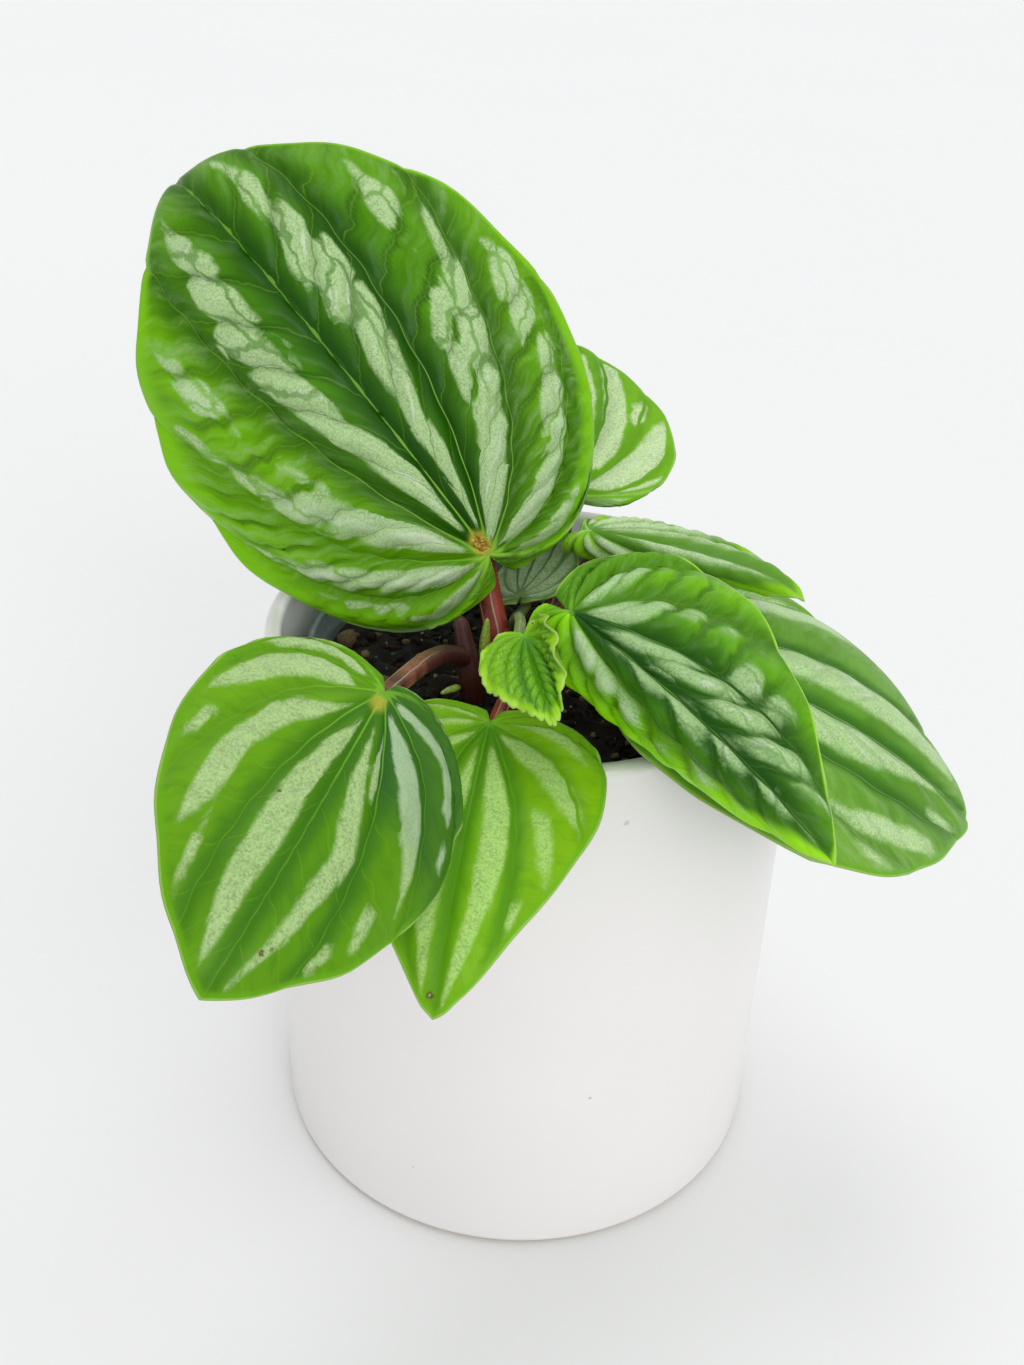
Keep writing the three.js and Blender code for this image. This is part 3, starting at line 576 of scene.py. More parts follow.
def leaf_material(look, spots):
    """Green between silver stripes, deep beside the veins, lime towards the margin.

    The blade's mesh carries band (how far inside a silver stripe, as phase), vein (distance to a
    main vein, in widths of that vein), shade (distance to a main vein, mm), edge (distance to the
    margin, mm), lime (1 at a lime margin), outer (1 where the green is bright), puff (0 in a groove
    between two pillows, where shade is painted), mark (1 at the petiole of a leaf with a brown mark),
    reach (0 at the petiole, 1 at the margin), dim (1 where a darker bluish painted shade goes), cell
    (counts the side veins), weave (place in the pattern) and under (1 on the lower face).
    """
    v = LEAF_LOOKS[look]
    g = Graph(f"leaf_{look}", coat=v["coat"], coat_roughness=.16, specular=.1)
    band, vein, shade, edge = (g.attribute(name) for name in ("band", "vein", "shade", "edge"))
    cell, reach, outer = (g.attribute(name) for name in ("cell", "reach", "outer"))
    weave = g.attribute("weave", "Vector")
    groove = g.minus(1, g.attribute("puff"))
    broad, ragged, grain = g.noise(70, 3), g.noise(420, 4, .65), g.noise(2000, 2, .7)
    streak = g.noise(1, 3, .6, g.stretched(weave, (.8, 4.5, 1)))

    side_vein = g.plus(cell, g.times(g.minus(g.noise(300, 2), .5), .3))
    side_line = g.times(g.line(side_vein, .035, .01), g.step(shade, .2, 1))
    wander = g.add("ShaderNodeTexNoise", "Color", {"Scale": 260, "Vector": g.place()})
    wandered = g.vector("MULTIPLY_ADD", "Vector", wander, (.45, .45, 0), weave)
    net = g.times(g.step(g.cells(1, wandered, "DISTANCE_TO_EDGE"), .075, .02), g.step(reach, .3, .55))
    lobe = g.add("ShaderNodeTexVoronoi", "Color", {"Scale": 1, "Vector": wandered})

    depth = g.plus(band, g.times(g.minus(lobe, .42), v["lobes"]))
    depth = g.plus(depth, g.times(g.minus(streak, .5), v["ragged"]))
    depth = g.plus(depth, g.times(g.minus(ragged, .5), v["ragged"] * .6))
    # Silver is drawn off the grooves onto the pillow tops: painted shade in the grooves, and on the tops
    # the leaf's own silver with a painted sheen.
    depth = g.minus(depth, g.times(groove, v["tops"]))
    gaps = g.times(g.math("MAXIMUM", net, side_line), v["net"])
    silver_share = g.times(g.step(depth, -v["soft"], v["soft"]), g.step(shade, .3, .7),
                           g.step(edge, .5, 1.3), g.minus(1, gaps))

    green = leaf_green(g, v, shade, outer, groove, streak, ragged, broad)
    green = g.mix(g.times(side_line, v["side"]), green, v["vein"])
    silver = leaf_silver(g, v, depth, outer, groove, streak, grain)
    color = g.mix(g.times(silver_share, v["solid"]), green, silver)
    # Painted shade: a darker bluish part on one side of a blade, where it turns away from the light.
    bluish = g.mix(silver_share, (.012, .075, .018), (.33, .46, .32))
    color = g.mix(g.times(g.attribute("dim"), .6), color, bluish)

    vein_line = g.step(vein, 1.1, .5)
    vein_color = g.mix(g.step(reach, .5, .08), v["vein"], tinted(v["vein"], 1.6, .02))
    color = g.mix(g.times(vein_line, v["line"]), color, vein_color)
    color = g.mix(g.times(g.step(edge, .45, .15), .55), color, (.4, .58, .14))
    color = leaf_marks(g, color, spots)
    below = g.mix(g.step(broad, .3, .7), tinted(v["under"], .8), v["under"])
    below = g.mix(g.times(vein_line, .6), below, (.3, .34, .12))
    under = g.attribute("under")
    g.color(g.mix(under, color, below))

    gloss = g.plus(v["roughness"], g.times(g.noise(700, 2), .12))
    g.roughness(g.plus(gloss, g.times(under, .2)))
    relief = g.plus(g.times(grain, .35), g.times(ragged, .5))
    g.bump(g.minus(relief, g.times(net, .5 * v["net"])), .00015, .5)
    return g.material


def stem_material(name, dark, light, stripe, stripes, shaded):
    """Lengthwise stripes round a fleshy stem, with painted shade that darkens it near the soil.

    The mesh carries turn, which goes from 0 to 1 and back once round, and along, which is the way
    from the foot in millimetres; the stem is dark up to about shaded.
    """
    g = Graph(name, coat=.2, coat_roughness=.25, specular=.35)
    tone = g.mix(g.step(g.noise(140, 3), .32, .68), dark, light)
    turn = g.plus(g.times(g.attribute("turn"), stripes), g.times(g.noise(90, 2), .35))
    line = g.line(turn, .1, .03)
    tone = g.mix(g.times(line, .75), tone, stripe)
    tone = g.mix(g.times(g.step(g.noise(1500, 2), .6, .75), .25), tone, stripe)
    # Painted shade: the stem is dark near the soil, under the leaves.
    g.color(g.mix(g.step(g.attribute("along"), shaded, shaded * .4), tone, dark))
    g.roughness(g.plus(.36, g.times(g.noise(800, 2), .15)))
    g.bump(g.plus(line, g.noise(1200, 2)), .00015, .5)
    return g.material


def glaze_material():
    """White satin glaze, bare beige clay in a thin line round the foot, a few specks, a painted green
    reflection of the leaves on the rim and a painted whiter inside.
    """
    g = Graph("white_glaze", coat=.3, coat_roughness=.2, specular=.5)
    place = g.place()
    height = g.add("ShaderNodeSeparateXYZ", "Z", {"Vector": place})
    tone = g.mix(g.noise(30, 3), (.825, .8, .79), (.855, .835, .825))
    for spot, size, tint in SPECKS:
        speck = g.step(g.away(spot, size * .8, 1400), size * 1.3, size * .7)
        tone = g.mix(g.times(speck, .7), tone, tint)
    # Painted reflection: green light from the leaves on the inner rim at the front right.
    painted_reflection = g.times(g.step(g.away(PAINTED_LEAF_REFLECTION), .024, .006), g.step(height, .1385, .1405), .4)
    tone = g.mix(painted_reflection, tone, (.62, .74, .5))
    wavy = g.plus(height, g.times(g.noise(120, 2), .0006))
    tone = g.mix(g.step(wavy, .0019, .0012), tone, (.58, .5, .4))
    # Painted light: the inside of the pot is whiter than the outside, to offset the shade in it.
    radius = g.vector("LENGTH", "Value", g.stretched(place, (1, 1, 0)))
    g.color(g.mix(g.step(radius, .0597, .0587), tone, (.98, .98, .975)))
    g.roughness(g.plus(.24, g.times(g.noise(45, 3), .14)))
    g.bump(g.noise(220, 2), .0001, .25)
    return g.material


def plastic_material():
    """Dull grey-green moulded plastic, paler where it is scuffed."""
    g = Graph("grey_plastic", specular=.4)
    scuff = g.step(g.noise(420, 5, .7), .5, .72)
    tone = g.mix(g.noise(60, 2), (.1, .15, .15), (.14, .19, .185))
    g.color(g.mix(g.times(scuff, .5), tone, (.28, .33, .31)))
    g.roughness(g.plus(.42, g.times(scuff, .2)))
    g.bump(g.noise(2500, 2), .00008, .4)
    return g.material


def soil_material():
    """Dark peat, made near black as painted shade inside the pot; tone is 0 for peat, 1 for bark,
    2 for pale grit and 3 for green-blue granules.
    """
    g = Graph("potting_soil", specular=.25)
    kind = g.attribute("tone")
    # Painted shade: the peat is made near black for the shade inside the pot.
    peat = g.mix(g.noise(700, 5, .75), (.002, .002, .001), (.032, .022, .012))
    damp = g.step(g.noise(120, 3), .35, .65)
    peat = g.mix(damp, peat, (.004, .003, .002))
    bark = g.mix(g.noise(900, 4), (.05, .036, .016), (.3, .22, .11))
    grit = g.mix(g.noise(900, 3), (.3, .27, .2), (.5, .46, .38))
    granule = g.mix(g.noise(900, 3), (.01, .08, .07), (.03, .18, .15))
    tone = g.mix(g.step(kind, .4, .6), peat, bark)
    tone = g.mix(g.step(kind, 1.4, 1.6), tone, grit)
    g.color(g.mix(g.step(kind, 2.4, 2.6), tone, granule))
    g.roughness(g.minus(.95, g.times(damp, .3)))
    g.bump(g.noise(1500, 5, .75), .0006, .8)
    return g.material


def bud_material():
    """Fresh yellow-green with a paler, faintly scaly skin."""
    g = Graph("bud_green", coat=.2, specular=.5)
    scales = g.cells(1500)
    tone = g.mix(g.noise(300, 3), (.2, .34, .02), (.4, .56, .05))
    g.color(g.mix(g.step(scales, .5, .1), tone, (.5, .6, .2)))
    g.roughness(g.plus(.35, g.times(scales, .2)))
    g.bump(scales, .0002, .6)
    return g.material


# ---------------------------------------------------------------- meshes


def build(name, points, faces, material, replaces, attributes=None):
    """A piece from points in millimetres, which rides on the body and stands for a node."""
    mesh = bpy.data.meshes.new(name)
    mesh.from_pydata((np.asarray(points) * MM).tolist(), [], faces)
    for key, values in (attributes or {}).items():
        values = np.asarray(values, np.float32)
        layer = mesh.attributes.new(key, "FLOAT" if values.ndim == 1 else "FLOAT_VECTOR", "POINT")
        layer.data.foreach_set("value" if values.ndim == 1 else "vector", values.ravel())
    mesh.polygons.foreach_set("use_smooth", [True] * len(mesh.polygons))
    mesh.materials.append(material)
    mesh.validate()
    piece = add_object(name, mesh)
    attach(piece, "root")
    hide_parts(replaces)


def merge(parts):
    """Joins (points, faces, attributes) triples into one."""
    points, faces, attributes = [], [], {}
    for part_points, part_faces, part_attributes in parts:
        start = sum(len(p) for p in points)
        points.append(np.asarray(part_points))
        faces.extend([tuple(start + i for i in face) for face in part_faces])
        for key, values in part_attributes.items():
            attributes.setdefault(key, []).append(np.asarray(values))
    return np.concatenate(points), faces, {k: np.concatenate(v) for k, v in attributes.items()}


def skin(rings, around, downwards=False):
    """Faces of a closed skin: an end point, rings of points and the other end point.

    Seen from above, the rings run anticlockwise; downwards is for rings listed from the top down.
    """
    last = 1 + rings * around
    faces = []
    for i in range(around):
        j = (i + 1) % around
        faces.append((0, 1 + j, 1 + i))
        for low in range(1, last - around, around):
            faces.append((low + i, low + j, low + around + j, low + around + i))
        faces.append((last - around + i, last - around + j, last))
    return [face[:1] + face[:0:-1] for face in faces] if downwards else faces


def turned(count):
    """Angles of that many points round a ring."""
    return np.linspace(0, 2 * pi, count, endpoint=False)


def lathe(profile, segments):
    """Turns a profile of (radius, height) about +Z; it starts and ends on the axis."""
    rings = [(r, z) for r, z in profile if r > 0]
    points = [(0, 0, profile[0][1])]
    for r, z in rings:
        points += [(r * cos(a), r * sin(a), z) for a in turned(segments)]
    points.append((0, 0, profile[-1][1]))
    return points, skin(len(rings), segments)


def arc(centre, radius, start, end, steps=6):
    """Points of a profile's rounded corner, by angles in degrees."""
    angles = [DEGREE * (start + (end - start) * i / steps) for i in range(steps + 1)]
    return [(centre[0] + radius * cos(a), centre[1] + radius * sin(a)) for a in angles]


def smooth_noise(seed, x, y, scale, waves=9):
    """Soft bumps between about -1 and 1 over (x, y), from a few seeded waves."""
    rng = np.random.default_rng(seed)
    total = 0
    for _ in range(waves):
        angle, phase = rng.uniform(0, 2 * pi, 2)
        stretch = rng.uniform(.6, 1.6) / scale
        total = total + np.sin(stretch * (x * cos(angle) + y * sin(angle)) + phase)
    return total / sqrt(waves / 2) / 1.6


# ---------------------------------------------------------------- leaf blades


def cubic(a, b, c, d, t):
    """A point of the curve from a to d that b and c pull at."""
    m = 1 - t
    return m**3 * a + 3 * m * m * t * b + 3 * m * t * t * c + t**3 * d


def margin_point(leaf, u):
    """The flat heart-shaped margin, as shares of length and half width."""
    wide, lobe, tip = leaf["widest"], leaf["lobe"], leaf["tip_width"]
    t1, t2 = np.clip(u / .5, 0, 1), np.clip((u - .5) / .5, 0, 1)
    near_tip = u <= .5
    x = np.where(near_tip, cubic(1, .86, wide + .3, wide, t1),
                 cubic(wide, wide - .26, -lobe * 1.3, -lobe * .7, t2))
    y = np.where(near_tip, cubic(0, tip, 1, 1, t1), cubic(1, 1, .6, .06, t2))
    return x, y


def vein_interval(u):
    """Between which two main veins a place of the margin is, and how far across."""
    k = np.clip(np.searchsorted(VEIN_ENDS, u, side="right") - 1, 0, len(VEIN_ENDS) - 2)
    return k, (u - VEIN_ENDS[k]) / (VEIN_ENDS[k + 1] - VEIN_ENDS[k])


def flat_point(leaf, u, s, side=1):
    """A point of the flat blade, in millimetres along the midrib and out from it."""
    x, y = margin_point(leaf, u)
    k, across = vein_interval(u)
    ripple = leaf["teeth"] * np.abs(np.sin(19 * pi * u + .7 * side)) * s**8
    phase = np.interp(u, VEIN_ENDS, np.arange(len(VEIN_ENDS)))
    scallop = leaf["scallop"] * np.clip(u / .1, 0, 1)
    ripple = ripple + scallop * np.sin(42 * u + 2 * side + leaf["length"]) * s**5
    tuck = np.interp(side * phase, *zip(*leaf["tuck"])) * s
    half = leaf["left"] if side > 0 else leaf["right"]
    out = []
    for axis, edge in enumerate((x, y)):
        shoulder = VEIN_SHOULDERS[k, axis] * (1 - across) + VEIN_SHOULDERS[k + 1, axis] * across
        out.append((2 * s * (1 - s) * shoulder + s * s * edge * (1 + ripple)) * (1 - tuck))
    return out[0] * leaf["length"], out[1] * half


def bent_line(angle_at, low, high, steps=160):
    """Follows a line that turns by angle_at(distance); returns a look-up from distance."""
    at = np.linspace(low, high, steps)
    angle = angle_at(at)
    step = at[1] - at[0]
    along = np.concatenate([[0], np.cumsum((np.cos(angle[1:]) + np.cos(angle[:-1])) / 2 * step)])
    up = np.concatenate([[0], np.cumsum((np.sin(angle[1:]) + np.sin(angle[:-1])) / 2 * step)])
    along = along - np.interp(0, at, along)
    up = up - np.interp(0, at, up)
    return lambda d: (np.interp(d, at, along), np.interp(d, at, up), angle_at(d))


def blade_axes(leaf):
    """Unit vectors along the midrib, to its left, and out of the upper face."""
    heading, rise, roll = (leaf[key] * DEGREE for key in ("heading", "rise", "roll"))
    run = cos(rise)
    ahead = np.array([sin(heading) * run, cos(heading) * run, sin(rise)])
    level = np.array([-cos(heading), sin(heading), 0])
    above = np.cross(ahead, level)
    left = cos(roll) * level + sin(roll) * above
    up = cos(roll) * above - sin(roll) * level
    return ahead, left, up


def vein_drift(leaf, phase, s):
    """How far the pattern moves outwards at this phase; veins also zigzag a little."""
    ramp = np.clip(s / .5, 0, 1)
    ramp = ramp * ramp * (3 - 2 * ramp)
    total = .02 * np.sin(2 * pi * leaf["cells"] * s + 2 * np.round(phase)) * np.clip(5 * s, 0, 1)
    for vein, amount in leaf["drift"].items():
        total = total + amount * np.clip(1 - np.abs(phase - vein), 0, 1) * ramp
    return total


def share_round(phase):
    """Share of the way round the margin, 0 at the tip, for a phase without its sign."""
    return np.interp(np.abs(phase), np.arange(len(VEIN_ENDS)), VEIN_ENDS)


def side_vein_count(leaf, phase, s):
    """Counts the side veins, which slant up from each main vein to the next one out."""
    out = np.abs(phase)
    seed = int(leaf["length"])
    wander = smooth_noise(seed, phase * 1.3, s * 6, .8)
    slant = .3 * np.minimum(out, 1) + .45 * np.clip(out - 1, 0, None)
    return leaf["cells"] * (s - slant) + .25 * wander


def interval_share(phase):
    """0 at a main vein and towards 1 at the next one out."""
    return np.where(np.abs(phase) >= 5, 1, np.abs(phase) % 1)


def pillow(leaf, phase, s):
    """The quilting between side veins: from -.6 in a groove to .4 on top, and 0 where there is none."""
    swell = np.sqrt(np.sin(pi * side_vein_count(leaf, phase, s)) ** 2 + .07)
    swell = (swell - .265) / .77 - .6
    fade = np.clip(2.2 * np.sin(pi * s**.8), 0, 1) * np.clip((s - .12) / .4, 0, 1)
    fade = fade * np.clip((4 - np.abs(phase)) / 1.6, .12, 1)
    return swell * np.sin(pi * interval_share(phase)) ** .8 * fade


def blade_surface(leaf, side, phase, s):
    """The blade's middle surface at these phases of one half, with its quilting."""
    ahead, left, up = blade_axes(leaf)
    length = leaf["length"]

    def midrib_angle(d):
        share = d / length
        hooked = np.clip((share - .62) / .38, 0, None)
        return -DEGREE * (leaf["arch"] * share + leaf["hook"] * hooked**2)

    index = 0 if side > 0 else 1
    half = leaf["left"] if side > 0 else leaf["right"]
    fold, curl = leaf["fold"][index] * DEGREE, leaf["curl"][index] * DEGREE
    midrib = bent_line(midrib_angle, -.35 * length, 1.02 * length)

    def section_angle(d):
        return fold * np.clip(d / CREASE_SOFTNESS, 0, 1) + curl * d / half

    section = bent_line(section_angle, 0, 1.1 * half)
    x, y = flat_point(leaf, share_round(phase + vein_drift(leaf, phase, s)), s, side)
    across = interval_share(phase)
    reach = np.sin(pi * s**.8)
    raised = leaf["pleat"] * np.sin(pi * across) ** 2 * (reach + MARGIN_PLEAT * s * s)
    raised = raised + leaf["quilt"] * pillow(leaf, phase, s)
    u = share_round(phase)
    raised = raised + leaf["ruffle"] * np.clip(u / .1, 0, 1) * np.sin(33 * u + 2 * side) * s**5
    groove = np.exp(-((vein_distance(leaf, side, phase, s) / .9) ** 2))
    raised = raised - .4 * leaf["pleat"] ** .5 * groove * np.clip(4 * s, 0, 1)
    ridge_along, ridge_up, angle = section(y)
    rib_along, rib_up, rib_angle = midrib(x)
    out = ridge_along - raised * np.sin(angle)
    above = ridge_up + raised * np.cos(angle)
    forward = rib_along - above * np.sin(rib_angle)
    high = rib_up + above * np.cos(rib_angle)
    base = np.array(leaf["base"])
    return base + forward[..., None] * ahead + side * out[..., None] * left + high[..., None] * up


def leaf_spots(look):
    """Places and sizes, in metres, of the dry marks on the leaves of one look."""
    spots = []
    for leaf in LEAVES.values():
        for phase, reach, size in leaf["spots"] if leaf["look"] == look else ():
            point = blade_surface(leaf, 1 if phase > 0 else -1, np.array([phase]), np.array([reach]))[0]
            spots.append((tuple(float(c) * MM for c in point), size * MM))
    return spots


def vein_distance(leaf, side, phase, s):
    """Distance in the flat blade to the nearer of the two veins beside this phase, in millimetres."""
    x, y = flat_point(leaf, share_round(phase + vein_drift(leaf, phase, s)), s, side)
    inner = np.minimum(np.floor(np.abs(phase)), 4)
    nearest = np.full(np.shape(phase), 1e3)
    for vein in (side * inner, side * (inner + 1)):
        place = share_round(vein + vein_drift(leaf, vein, s))
        vx, vy = flat_point(leaf, place, s, side)
        ux, uy = flat_point(leaf, place, np.minimum(s + .02, 1.02), side)
        tx, ty = ux - vx, uy - vy
        size = np.hypot(tx, ty) + 1e-9
        nearest = np.minimum(nearest, np.abs((x - vx) * ty - (y - vy) * tx) / size)
    return nearest


def stripe_depth(leaf, phase, s):
    """How far inside the nearest silver stripe a place is, as phase; negative outside."""
    place = phase + vein_drift(leaf, phase, s)
    depth = np.full(np.shape(s), -1.0)
    for stripe in leaf["stripes"]:
        reach, middle, half = np.reshape(stripe, (-1, 3)).T / 100
        inside = np.interp(s, reach, half) * leaf["slim"] - np.abs(place - np.interp(s, reach, middle))
        ends = 3 * np.minimum(s - reach[0], reach[-1] - s)
        depth = np.maximum(depth, np.minimum(inside, ends))
    return depth


def blade_columns(per_interval):
    """Phases of the blade's columns, from the right lobe round the tip to the left lobe."""
    half = np.arange(5 * per_interval + 1) / per_interval
    return np.concatenate([-half[:0:-1], half])


def blade_points(leaf, columns, s):
    """The middle surface's points, column by column after the base, and what is measured there:
    phase, reach, and the distances to a main vein, to the margin and to the brown mark."""
    halves = []
    for side, phases in ((-1, columns[columns < 0]), (1, columns[columns >= 0])):
        phase, reach = np.meshgrid(phases, s, indexing="ij")
        x, y = flat_point(leaf, share_round(phase + vein_drift(leaf, phase, reach)), reach, side)
        mx, my = flat_point(leaf, np.linspace(0, 1, 400), np.ones(400), side)
        edge = np.sqrt((x[..., None] - mx) ** 2 + (y[..., None] - my) ** 2).min(-1)
        distance = vein_distance(leaf, side, phase, reach)
        root = np.hypot((x - 3) * .62, y)
        halves.append((blade_surface(leaf, side, phase, reach), phase, reach, distance, edge, root))
    points, *fields = (np.concatenate(pair) for pair in zip(*halves))
    at_base = (0, 0, 0, 9, 2.5)
    fields = [np.append(value, field) for value, field in zip(at_base, fields)]
    return np.vstack([leaf["base"], points.reshape(-1, 3)]), fields


def blade_faces(count, rows):
    """Faces of one side of a blade, whose columns all start at the base, and the way round its margin."""
    grid = np.arange(1, count * rows + 1).reshape(count, rows)
    grid = np.hstack([np.zeros((count, 1), int), grid])
    corners = np.stack([grid[:-1, :-1], grid[:-1, 1:], grid[1:, 1:], grid[1:, :-1]], -1).reshape(-1, 4)
    upper = [tuple(face if face[0] else face[:3]) for face in corners.tolist()]
    return upper, [*grid[0].tolist(), *grid[1:, -1].tolist(), *grid[-1, -2:0:-1].tolist()]


def thicken(middle, edge, upper, border):
    """The closed blade: its upper face, its lower face and a rounded rim."""
    normals = np.zeros_like(middle)
    for face in upper:
        a, b, d = middle[face[0]], middle[face[1]], middle[face[-1]]
        normals[list(face)] += np.cross(b - a, d - a)
    normals /= np.linalg.norm(normals, axis=1)[:, None] + 1e-12
    thick = EDGE_THICKNESS + (LEAF_THICKNESS - EDGE_THICKNESS) * np.clip(edge / TAPER_WIDTH, 0, 1)
    half = normals * thick[:, None] / 2
    loop = middle[border]
    outward = np.cross(np.roll(loop, -1, 0) - np.roll(loop, 1, 0), normals[border])
    outward /= np.linalg.norm(outward, axis=1)[:, None] + 1e-12
    rim = loop + outward * EDGE_THICKNESS * RIM_BULGE
    rim[0] = loop[0]
    below, rim_start = len(middle), 2 * len(middle)
    faces = upper + [tuple(below + i for i in reversed(face)) for face in upper]
    for i, a in enumerate(border):
        j = (i + 1) % len(border)
        b = border[j]
        faces.append((a, rim_start + i, rim_start + j, b))
        faces.append((rim_start + i, below + a, below + b, rim_start + j))
    return np.concatenate([middle + half, middle - half, rim]), faces


def blade_pattern(leaf, phase, reach, distance, edge, root):
    """What the leaf's material reads at each point."""
    vein_width = .1 + .36 * (1 - reach) ** 2.2 * min(leaf["length"] / 80, 1)
    vein_width = vein_width + leaf["star"] * np.exp(-((reach / .06) ** 2))
    lime_width = np.interp(phase, *zip(*leaf["lime"]))
    quilting = min(leaf["quilt"] / 1.5, 1)
    brightness = np.interp(phase, *zip(*leaf["bright"]))
    painted_shade_start = np.interp(reach, (.2, .9), leaf["dim"])
    cell = side_vein_count(leaf, phase, reach)
    return {
        "band": stripe_depth(leaf, phase, reach),
        "vein": distance / vein_width,
        "shade": distance,
        "edge": edge,
        "lime": np.clip(1 - edge / lime_width, 0, 1),
        "outer": np.clip(np.maximum(brightness, (reach - .7) / .6), 0, 1),
        "puff": np.clip(1 + quilting * (pillow(leaf, phase, reach) - .1) / .6, 0, 1),
        "mark": leaf["mark"] * np.exp(-((root / 2.1) ** 2)),
        "reach": reach,
        # 1 on the darker bluish part of a blade, which is painted shade
        "dim": np.clip((phase - painted_shade_start) / .35, 0, 1),
        "cell": cell,
        "weave": np.stack([phase * 2.5, cell * .75, np.full_like(phase, leaf["length"])], -1),
    }


def add_leaf(name, leaf, material):
    """A closed blade: two faces that thin towards a rounded margin."""
    columns = blade_columns(max(11, int(leaf["length"] / COLUMN_SPACING)))
    rows = max(32, int(leaf["length"] / ROW_SPACING))
    middle, fields = blade_points(leaf, columns, (np.arange(1, rows + 1) / rows) ** .85)
    phase, reach, distance, edge, root = fields
    upper, border = blade_faces(len(columns), rows)
    points, faces = thicken(middle, edge, upper, border)
    pattern = blade_pattern(leaf, phase, reach, distance, edge, root)
    attributes = {key: np.concatenate([v, v, v[border]]) for key, v in pattern.items()}
    attributes["under"] = np.repeat([0, 1, .3], [len(middle), len(middle), len(border)])
    build(f"{name}_blade", points, faces, material, name, attributes)


# ---------------------------------------------------------------- stems


def blend(a, b, t, low, high):
    """a where t is low and b where it is high."""
    return (high - t) / (high - low) * a + (t - low) / (high - low) * b


def curve_points(points, steps):
    """A smooth curve through the points, spaced evenly in each stretch."""
    p = np.array(points, float)
    p = np.vstack([2 * p[0] - p[1], p, 2 * p[-1] - p[-2]])
    out = []
    for i in range(1, len(p) - 2):
        q = p[i - 1 : i + 3]
        knots = np.concatenate([[0], np.cumsum(np.sqrt(np.linalg.norm(np.diff(q, axis=0), axis=1)))])
        t = np.linspace(knots[1], knots[2], steps, endpoint=False)[:, None]
        first = [blend(q[j], q[j + 1], t, *knots[[j, j + 1]]) for j in range(3)]
        second = [blend(first[j], first[j + 1], t, *knots[[j, j + 2]]) for j in range(2)]
        out.append(blend(*second, t, *knots[[1, 2]]))
    return np.vstack(out + [p[-2:-1]])


def tube(path, radius_at, sides=24, ribs=5, rib_depth=.035):
    """A closed tube along a path, faintly ribbed lengthwise, with rounded ends."""
    path = np.asarray(path)
    steps = np.linalg.norm(np.diff(path, axis=0), axis=1)
    along = np.concatenate([[0], np.cumsum(steps)])
    tangent = np.gradient(path, axis=0)
    tangent /= np.linalg.norm(tangent, axis=1)[:, None]
    side = np.cross(tangent[0], (.3, 1, .1))
    rings, turns, lengths = [], [], []
    angles = turned(sides)
    for i, centre in enumerate(path):
        side = side - tangent[i] * side.dot(tangent[i])
        side /= np.linalg.norm(side)
        other = np.cross(tangent[i], side)
        end = min(along[i], along[-1] - along[i])
        r = radius_at(along[i] / along[-1])
        r = r * sqrt(min(1, .12 + end / max(r, .1)))
        wave = r * (1 + rib_depth * np.cos(ribs * angles))
        rings.append(centre + (np.outer(np.cos(angles) * wave, side)
                               + np.outer(np.sin(angles) * wave, other)))
        turns.append(np.abs(angles / pi - 1))
        lengths.append(np.full(sides, along[i]))
    points = np.vstack([path[:1], *rings, path[-1:]])
    attributes = {"turn": np.concatenate([[0], *turns, [0]]),
                  "along": np.concatenate([[0], *lengths, [along[-1]]])}
    return points, skin(len(path), sides), attributes


def add_stem(name, stem, material):
    """The stem, from inside its hole in the soil, and its petioles up to their blades."""
    x, y = stem["foot"]
    shoot = [(x, y, STEM_FOOT), *stem["shoot"]]

    def shoot_radius(share):
        return stem["radius"] * (1.02 - .1 * share - stem.get("taper", 0) * max(share - .6, 0) / .4)

    parts = [tube(curve_points(shoot, 12), shoot_radius)]
    parts[0][2]["along"] *= stem.get("along", 1)
    for leaf_name, petiole in stem["petioles"].items():
        leaf = LEAVES[leaf_name]
        ahead, left, up = blade_axes(leaf)
        meets = petiole.get("meets", (0, 0, -.25))
        end = np.array(leaf["base"]) + meets[0] * ahead + meets[1] * left + meets[2] * up
        path = [*petiole["path"], tuple(end - 3 * up), tuple(end)]
        radius = petiole["radius"]
        parts.append(tube(curve_points(path, 14), lambda share, r=radius: r * (1.06 - .16 * share)))
    points, faces, attributes = merge(parts)
    build(f"{name}_petioles", points, faces, material, name, attributes)


def add_bud(name, bud, material):
    """A small curved spike that is thickest near its middle."""
    root, tip = np.array(bud["root"], float), np.array(bud["tip"], float)
    bend = np.cross(tip - root, (0, .2, 1.0)) * .04
    path = curve_points([root, (root + tip) / 2 + bend, tip], 12)

    def radius_at(share):
        return bud["radius"] * (.25 + .75 * sin(pi * min(.25 + share * .75, 1)) ** .8)

    points, faces, attributes = tube(path, radius_at, sides=14, ribs=4, rib_depth=.12)
    build(f"{name}_tip", points, faces, material, name, attributes)


# ---------------------------------------------------------------- pots and soil

# Where a green reflection of the leaves is painted on the white rim, and specks in the glaze: place,
# radius and colour; all in metres.
PAINTED_LEAF_REFLECTION = (.024, -.054, .1395)
SPECKS = [
    ((.0203, -.0586, .1273), .0010, (.62, .5, .4)),
    ((.0173, -.0595, .0495), .0006, (.4, .36, .32)),
    ((-.0235, -.0574, .0210), .0005, (.45, .42, .38)),
]


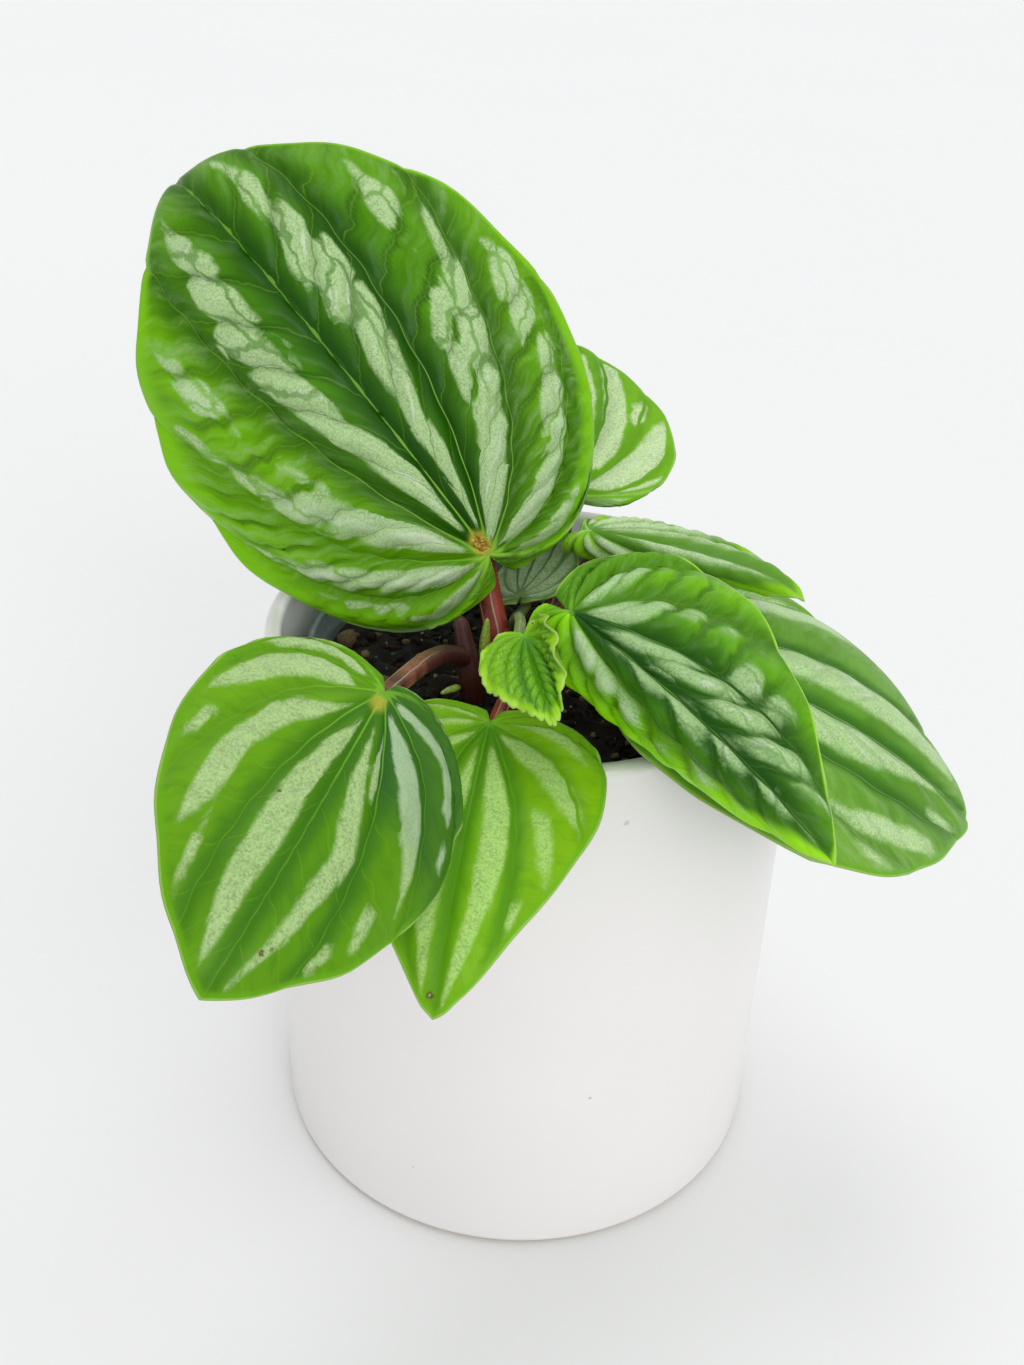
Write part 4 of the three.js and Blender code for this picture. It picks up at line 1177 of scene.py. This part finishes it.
def add_cover_pot():
    """A thick straight cylinder with a rounded lip and a rounded foot."""
    radius, height, wall = COVER_POT["radius"], COVER_POT["height"], COVER_POT["wall"]
    floor, rounding = COVER_POT["floor"], COVER_POT["rounding"]
    inner, lip = radius - wall, wall / 2
    profile = [(0, 0), (radius - rounding - 8, 0),
               *arc((radius - rounding, rounding), rounding, -90, 0),
               (radius, height * .3), (radius, height * .7),
               *arc((radius - lip, height - lip), lip, 0, 180, 10),
               (inner, height * .7), (inner, height * .3),
               *arc((inner - rounding, floor + rounding), rounding, 0, -90), (0, floor)]
    points, faces = lathe(profile, COVER_POT["segments"])
    build("cover_pot_glazed", points, faces, glaze_material(), "cover_pot")


def add_nursery_pot():
    """A thin tapered pot with an upright rim."""
    pot = NURSERY_POT
    rim, wall = pot["rim_radius"], pot["wall"]
    shoulder = NURSERY_TOP - pot["rim_height"]
    neck = rim - pot["rim_lip"]
    foot = pot["foot_radius"]
    edge = .5
    profile = [(0, NURSERY_FOOT), (foot - 1, NURSERY_FOOT), (foot, NURSERY_FOOT + 1), (neck, shoulder),
               (rim - edge, shoulder), (rim, shoulder + edge), (rim, NURSERY_TOP - edge),
               (rim - edge, NURSERY_TOP), (rim - wall + edge, NURSERY_TOP),
               (rim - wall, NURSERY_TOP - edge), (rim - wall, shoulder + wall),
               (neck - wall, shoulder + wall / 2),
               (foot - wall, NURSERY_FOOT + wall), (0, NURSERY_FOOT + wall)]
    points, faces = lathe(profile, pot["segments"])
    build("nursery_pot_rim", points, faces, plastic_material(), "nursery_pot")


# Loose crumbs by tone (0 peat, 1 bark, 2 grit, 3 granule): tone, count, smallest and largest radius.
CRUMB_KINDS = [(0, 620, .4, 1.5), (1, 190, .3, 1.3), (2, 46, .25, .55), (3, 26, .4, .8)]
# Single crumbs that the photo shows: x, y, radius and tone.
CRUMBS = [(-44.5, 5.5, 3.1, 1), (-30, 20, 2.2, 1), (-39.5, -1, 1.2, 1), (-35, 5, 1, 1),
          (-19.8, -14.5, 1.1, 3), (-11.5, -6.3, 1.0, 3)]


def soil_height(x, y):
    """Height of the crumbly surface at x, y in millimetres, a little higher in the middle."""
    share = np.minimum(np.hypot(x, y) / SOIL_RADIUS, 1)
    crumbs = np.sin(.61 * x + 1.3) * np.cos(.53 * y - .4) + .6 * np.sin(.9 * y + .37 * x)
    fine = smooth_noise(5, x, y, 1.6) * .55 + smooth_noise(6, x, y, .7) * .3
    return SOIL_TOP + 1.5 * (1 - share**2) + (.9 * crumbs + fine) * (1 - share**6)


def lump(rng, centre, size, flat):
    """One irregular crumb: a small sphere pushed in and out."""
    bands, around = 5, 8
    points = [(0, 0, 1.0)]
    for b in range(1, bands):
        wide, high = sin(pi * b / bands), cos(pi * b / bands)
        points += [(wide * cos(a), wide * sin(a), high) for a in turned(around)]
    points.append((0, 0, -1.0))
    points = np.array(points) * rng.uniform(.75, 1.2, (len(points), 1))
    points = points * size * np.array([rng.uniform(.8, 1.5), rng.uniform(.6, 1), flat])
    spin = rng.uniform(0, 2 * pi)
    c, s = cos(spin), sin(spin)
    points = points @ np.array([[c, s, 0], [-s, c, 0], [0, 0, 1]]) + centre
    return points, skin(bands - 1, around, downwards=True)


def add_soil():
    """A lumpy top with loose crumbs, bark, grit and a few granules, down to the pot's floor."""
    rings, segments = 80, 200
    angles = turned(segments)
    points = [(0, 0, float(soil_height(0, 0)))]
    for r in range(1, rings + 1):
        x, y = SOIL_RADIUS * r / rings * np.cos(angles), SOIL_RADIUS * r / rings * np.sin(angles)
        points += list(zip(x, y, soil_height(x, y)))
    foot = SOIL_FOOT_RADIUS
    points += [(foot * cos(a), foot * sin(a), SOIL_FOOT) for a in angles]
    points.append((0, 0, SOIL_FOOT))
    faces = skin(rings + 1, segments, downwards=True)
    parts = [(points, faces, {"tone": np.zeros(len(points))})]
    rng = np.random.default_rng(RNG_SEED)
    for tone, count, small, large in CRUMB_KINDS:
        for _ in range(count):
            radius = (SOIL_RADIUS - 3) * sqrt(rng.uniform())
            angle = rng.uniform(0, 2 * pi)
            x, y = radius * cos(angle), radius * sin(angle)
            size = rng.uniform(small, large)
            height = float(soil_height(x, y)) + .2 * size
            crumb, crumb_faces = lump(rng, (x, y, height), size, rng.uniform(.5, .9))
            parts.append((crumb, crumb_faces, {"tone": np.full(len(crumb), tone)}))
    for x, y, size, tone in CRUMBS:
        crumb, crumb_faces = lump(rng, (x, y, float(soil_height(x, y)) + .4 * size), size, .75)
        parts.append((crumb, crumb_faces, {"tone": np.full(len(crumb), tone)}))
    points, faces, attributes = merge(parts)
    build("soil_crumbs", points, faces, soil_material(), "soil", attributes)


# ---------------------------------------------------------------- the scene

add_camera()
add_studio()
add_cover_pot()
add_nursery_pot()
add_soil()

looks = {look: leaf_material(look, leaf_spots(look)) for look in LEAF_LOOKS}
for leaf_name, leaf in LEAVES.items():
    add_leaf(leaf_name, leaf, looks[leaf["look"]])

for stem_name, stem in STEMS.items():
    add_stem(stem_name, stem, stem_material(*STEM_LOOKS[stem_name]))
buds = bud_material()
for bud_name, bud in BUDS.items():
    add_bud(bud_name, bud, buds)
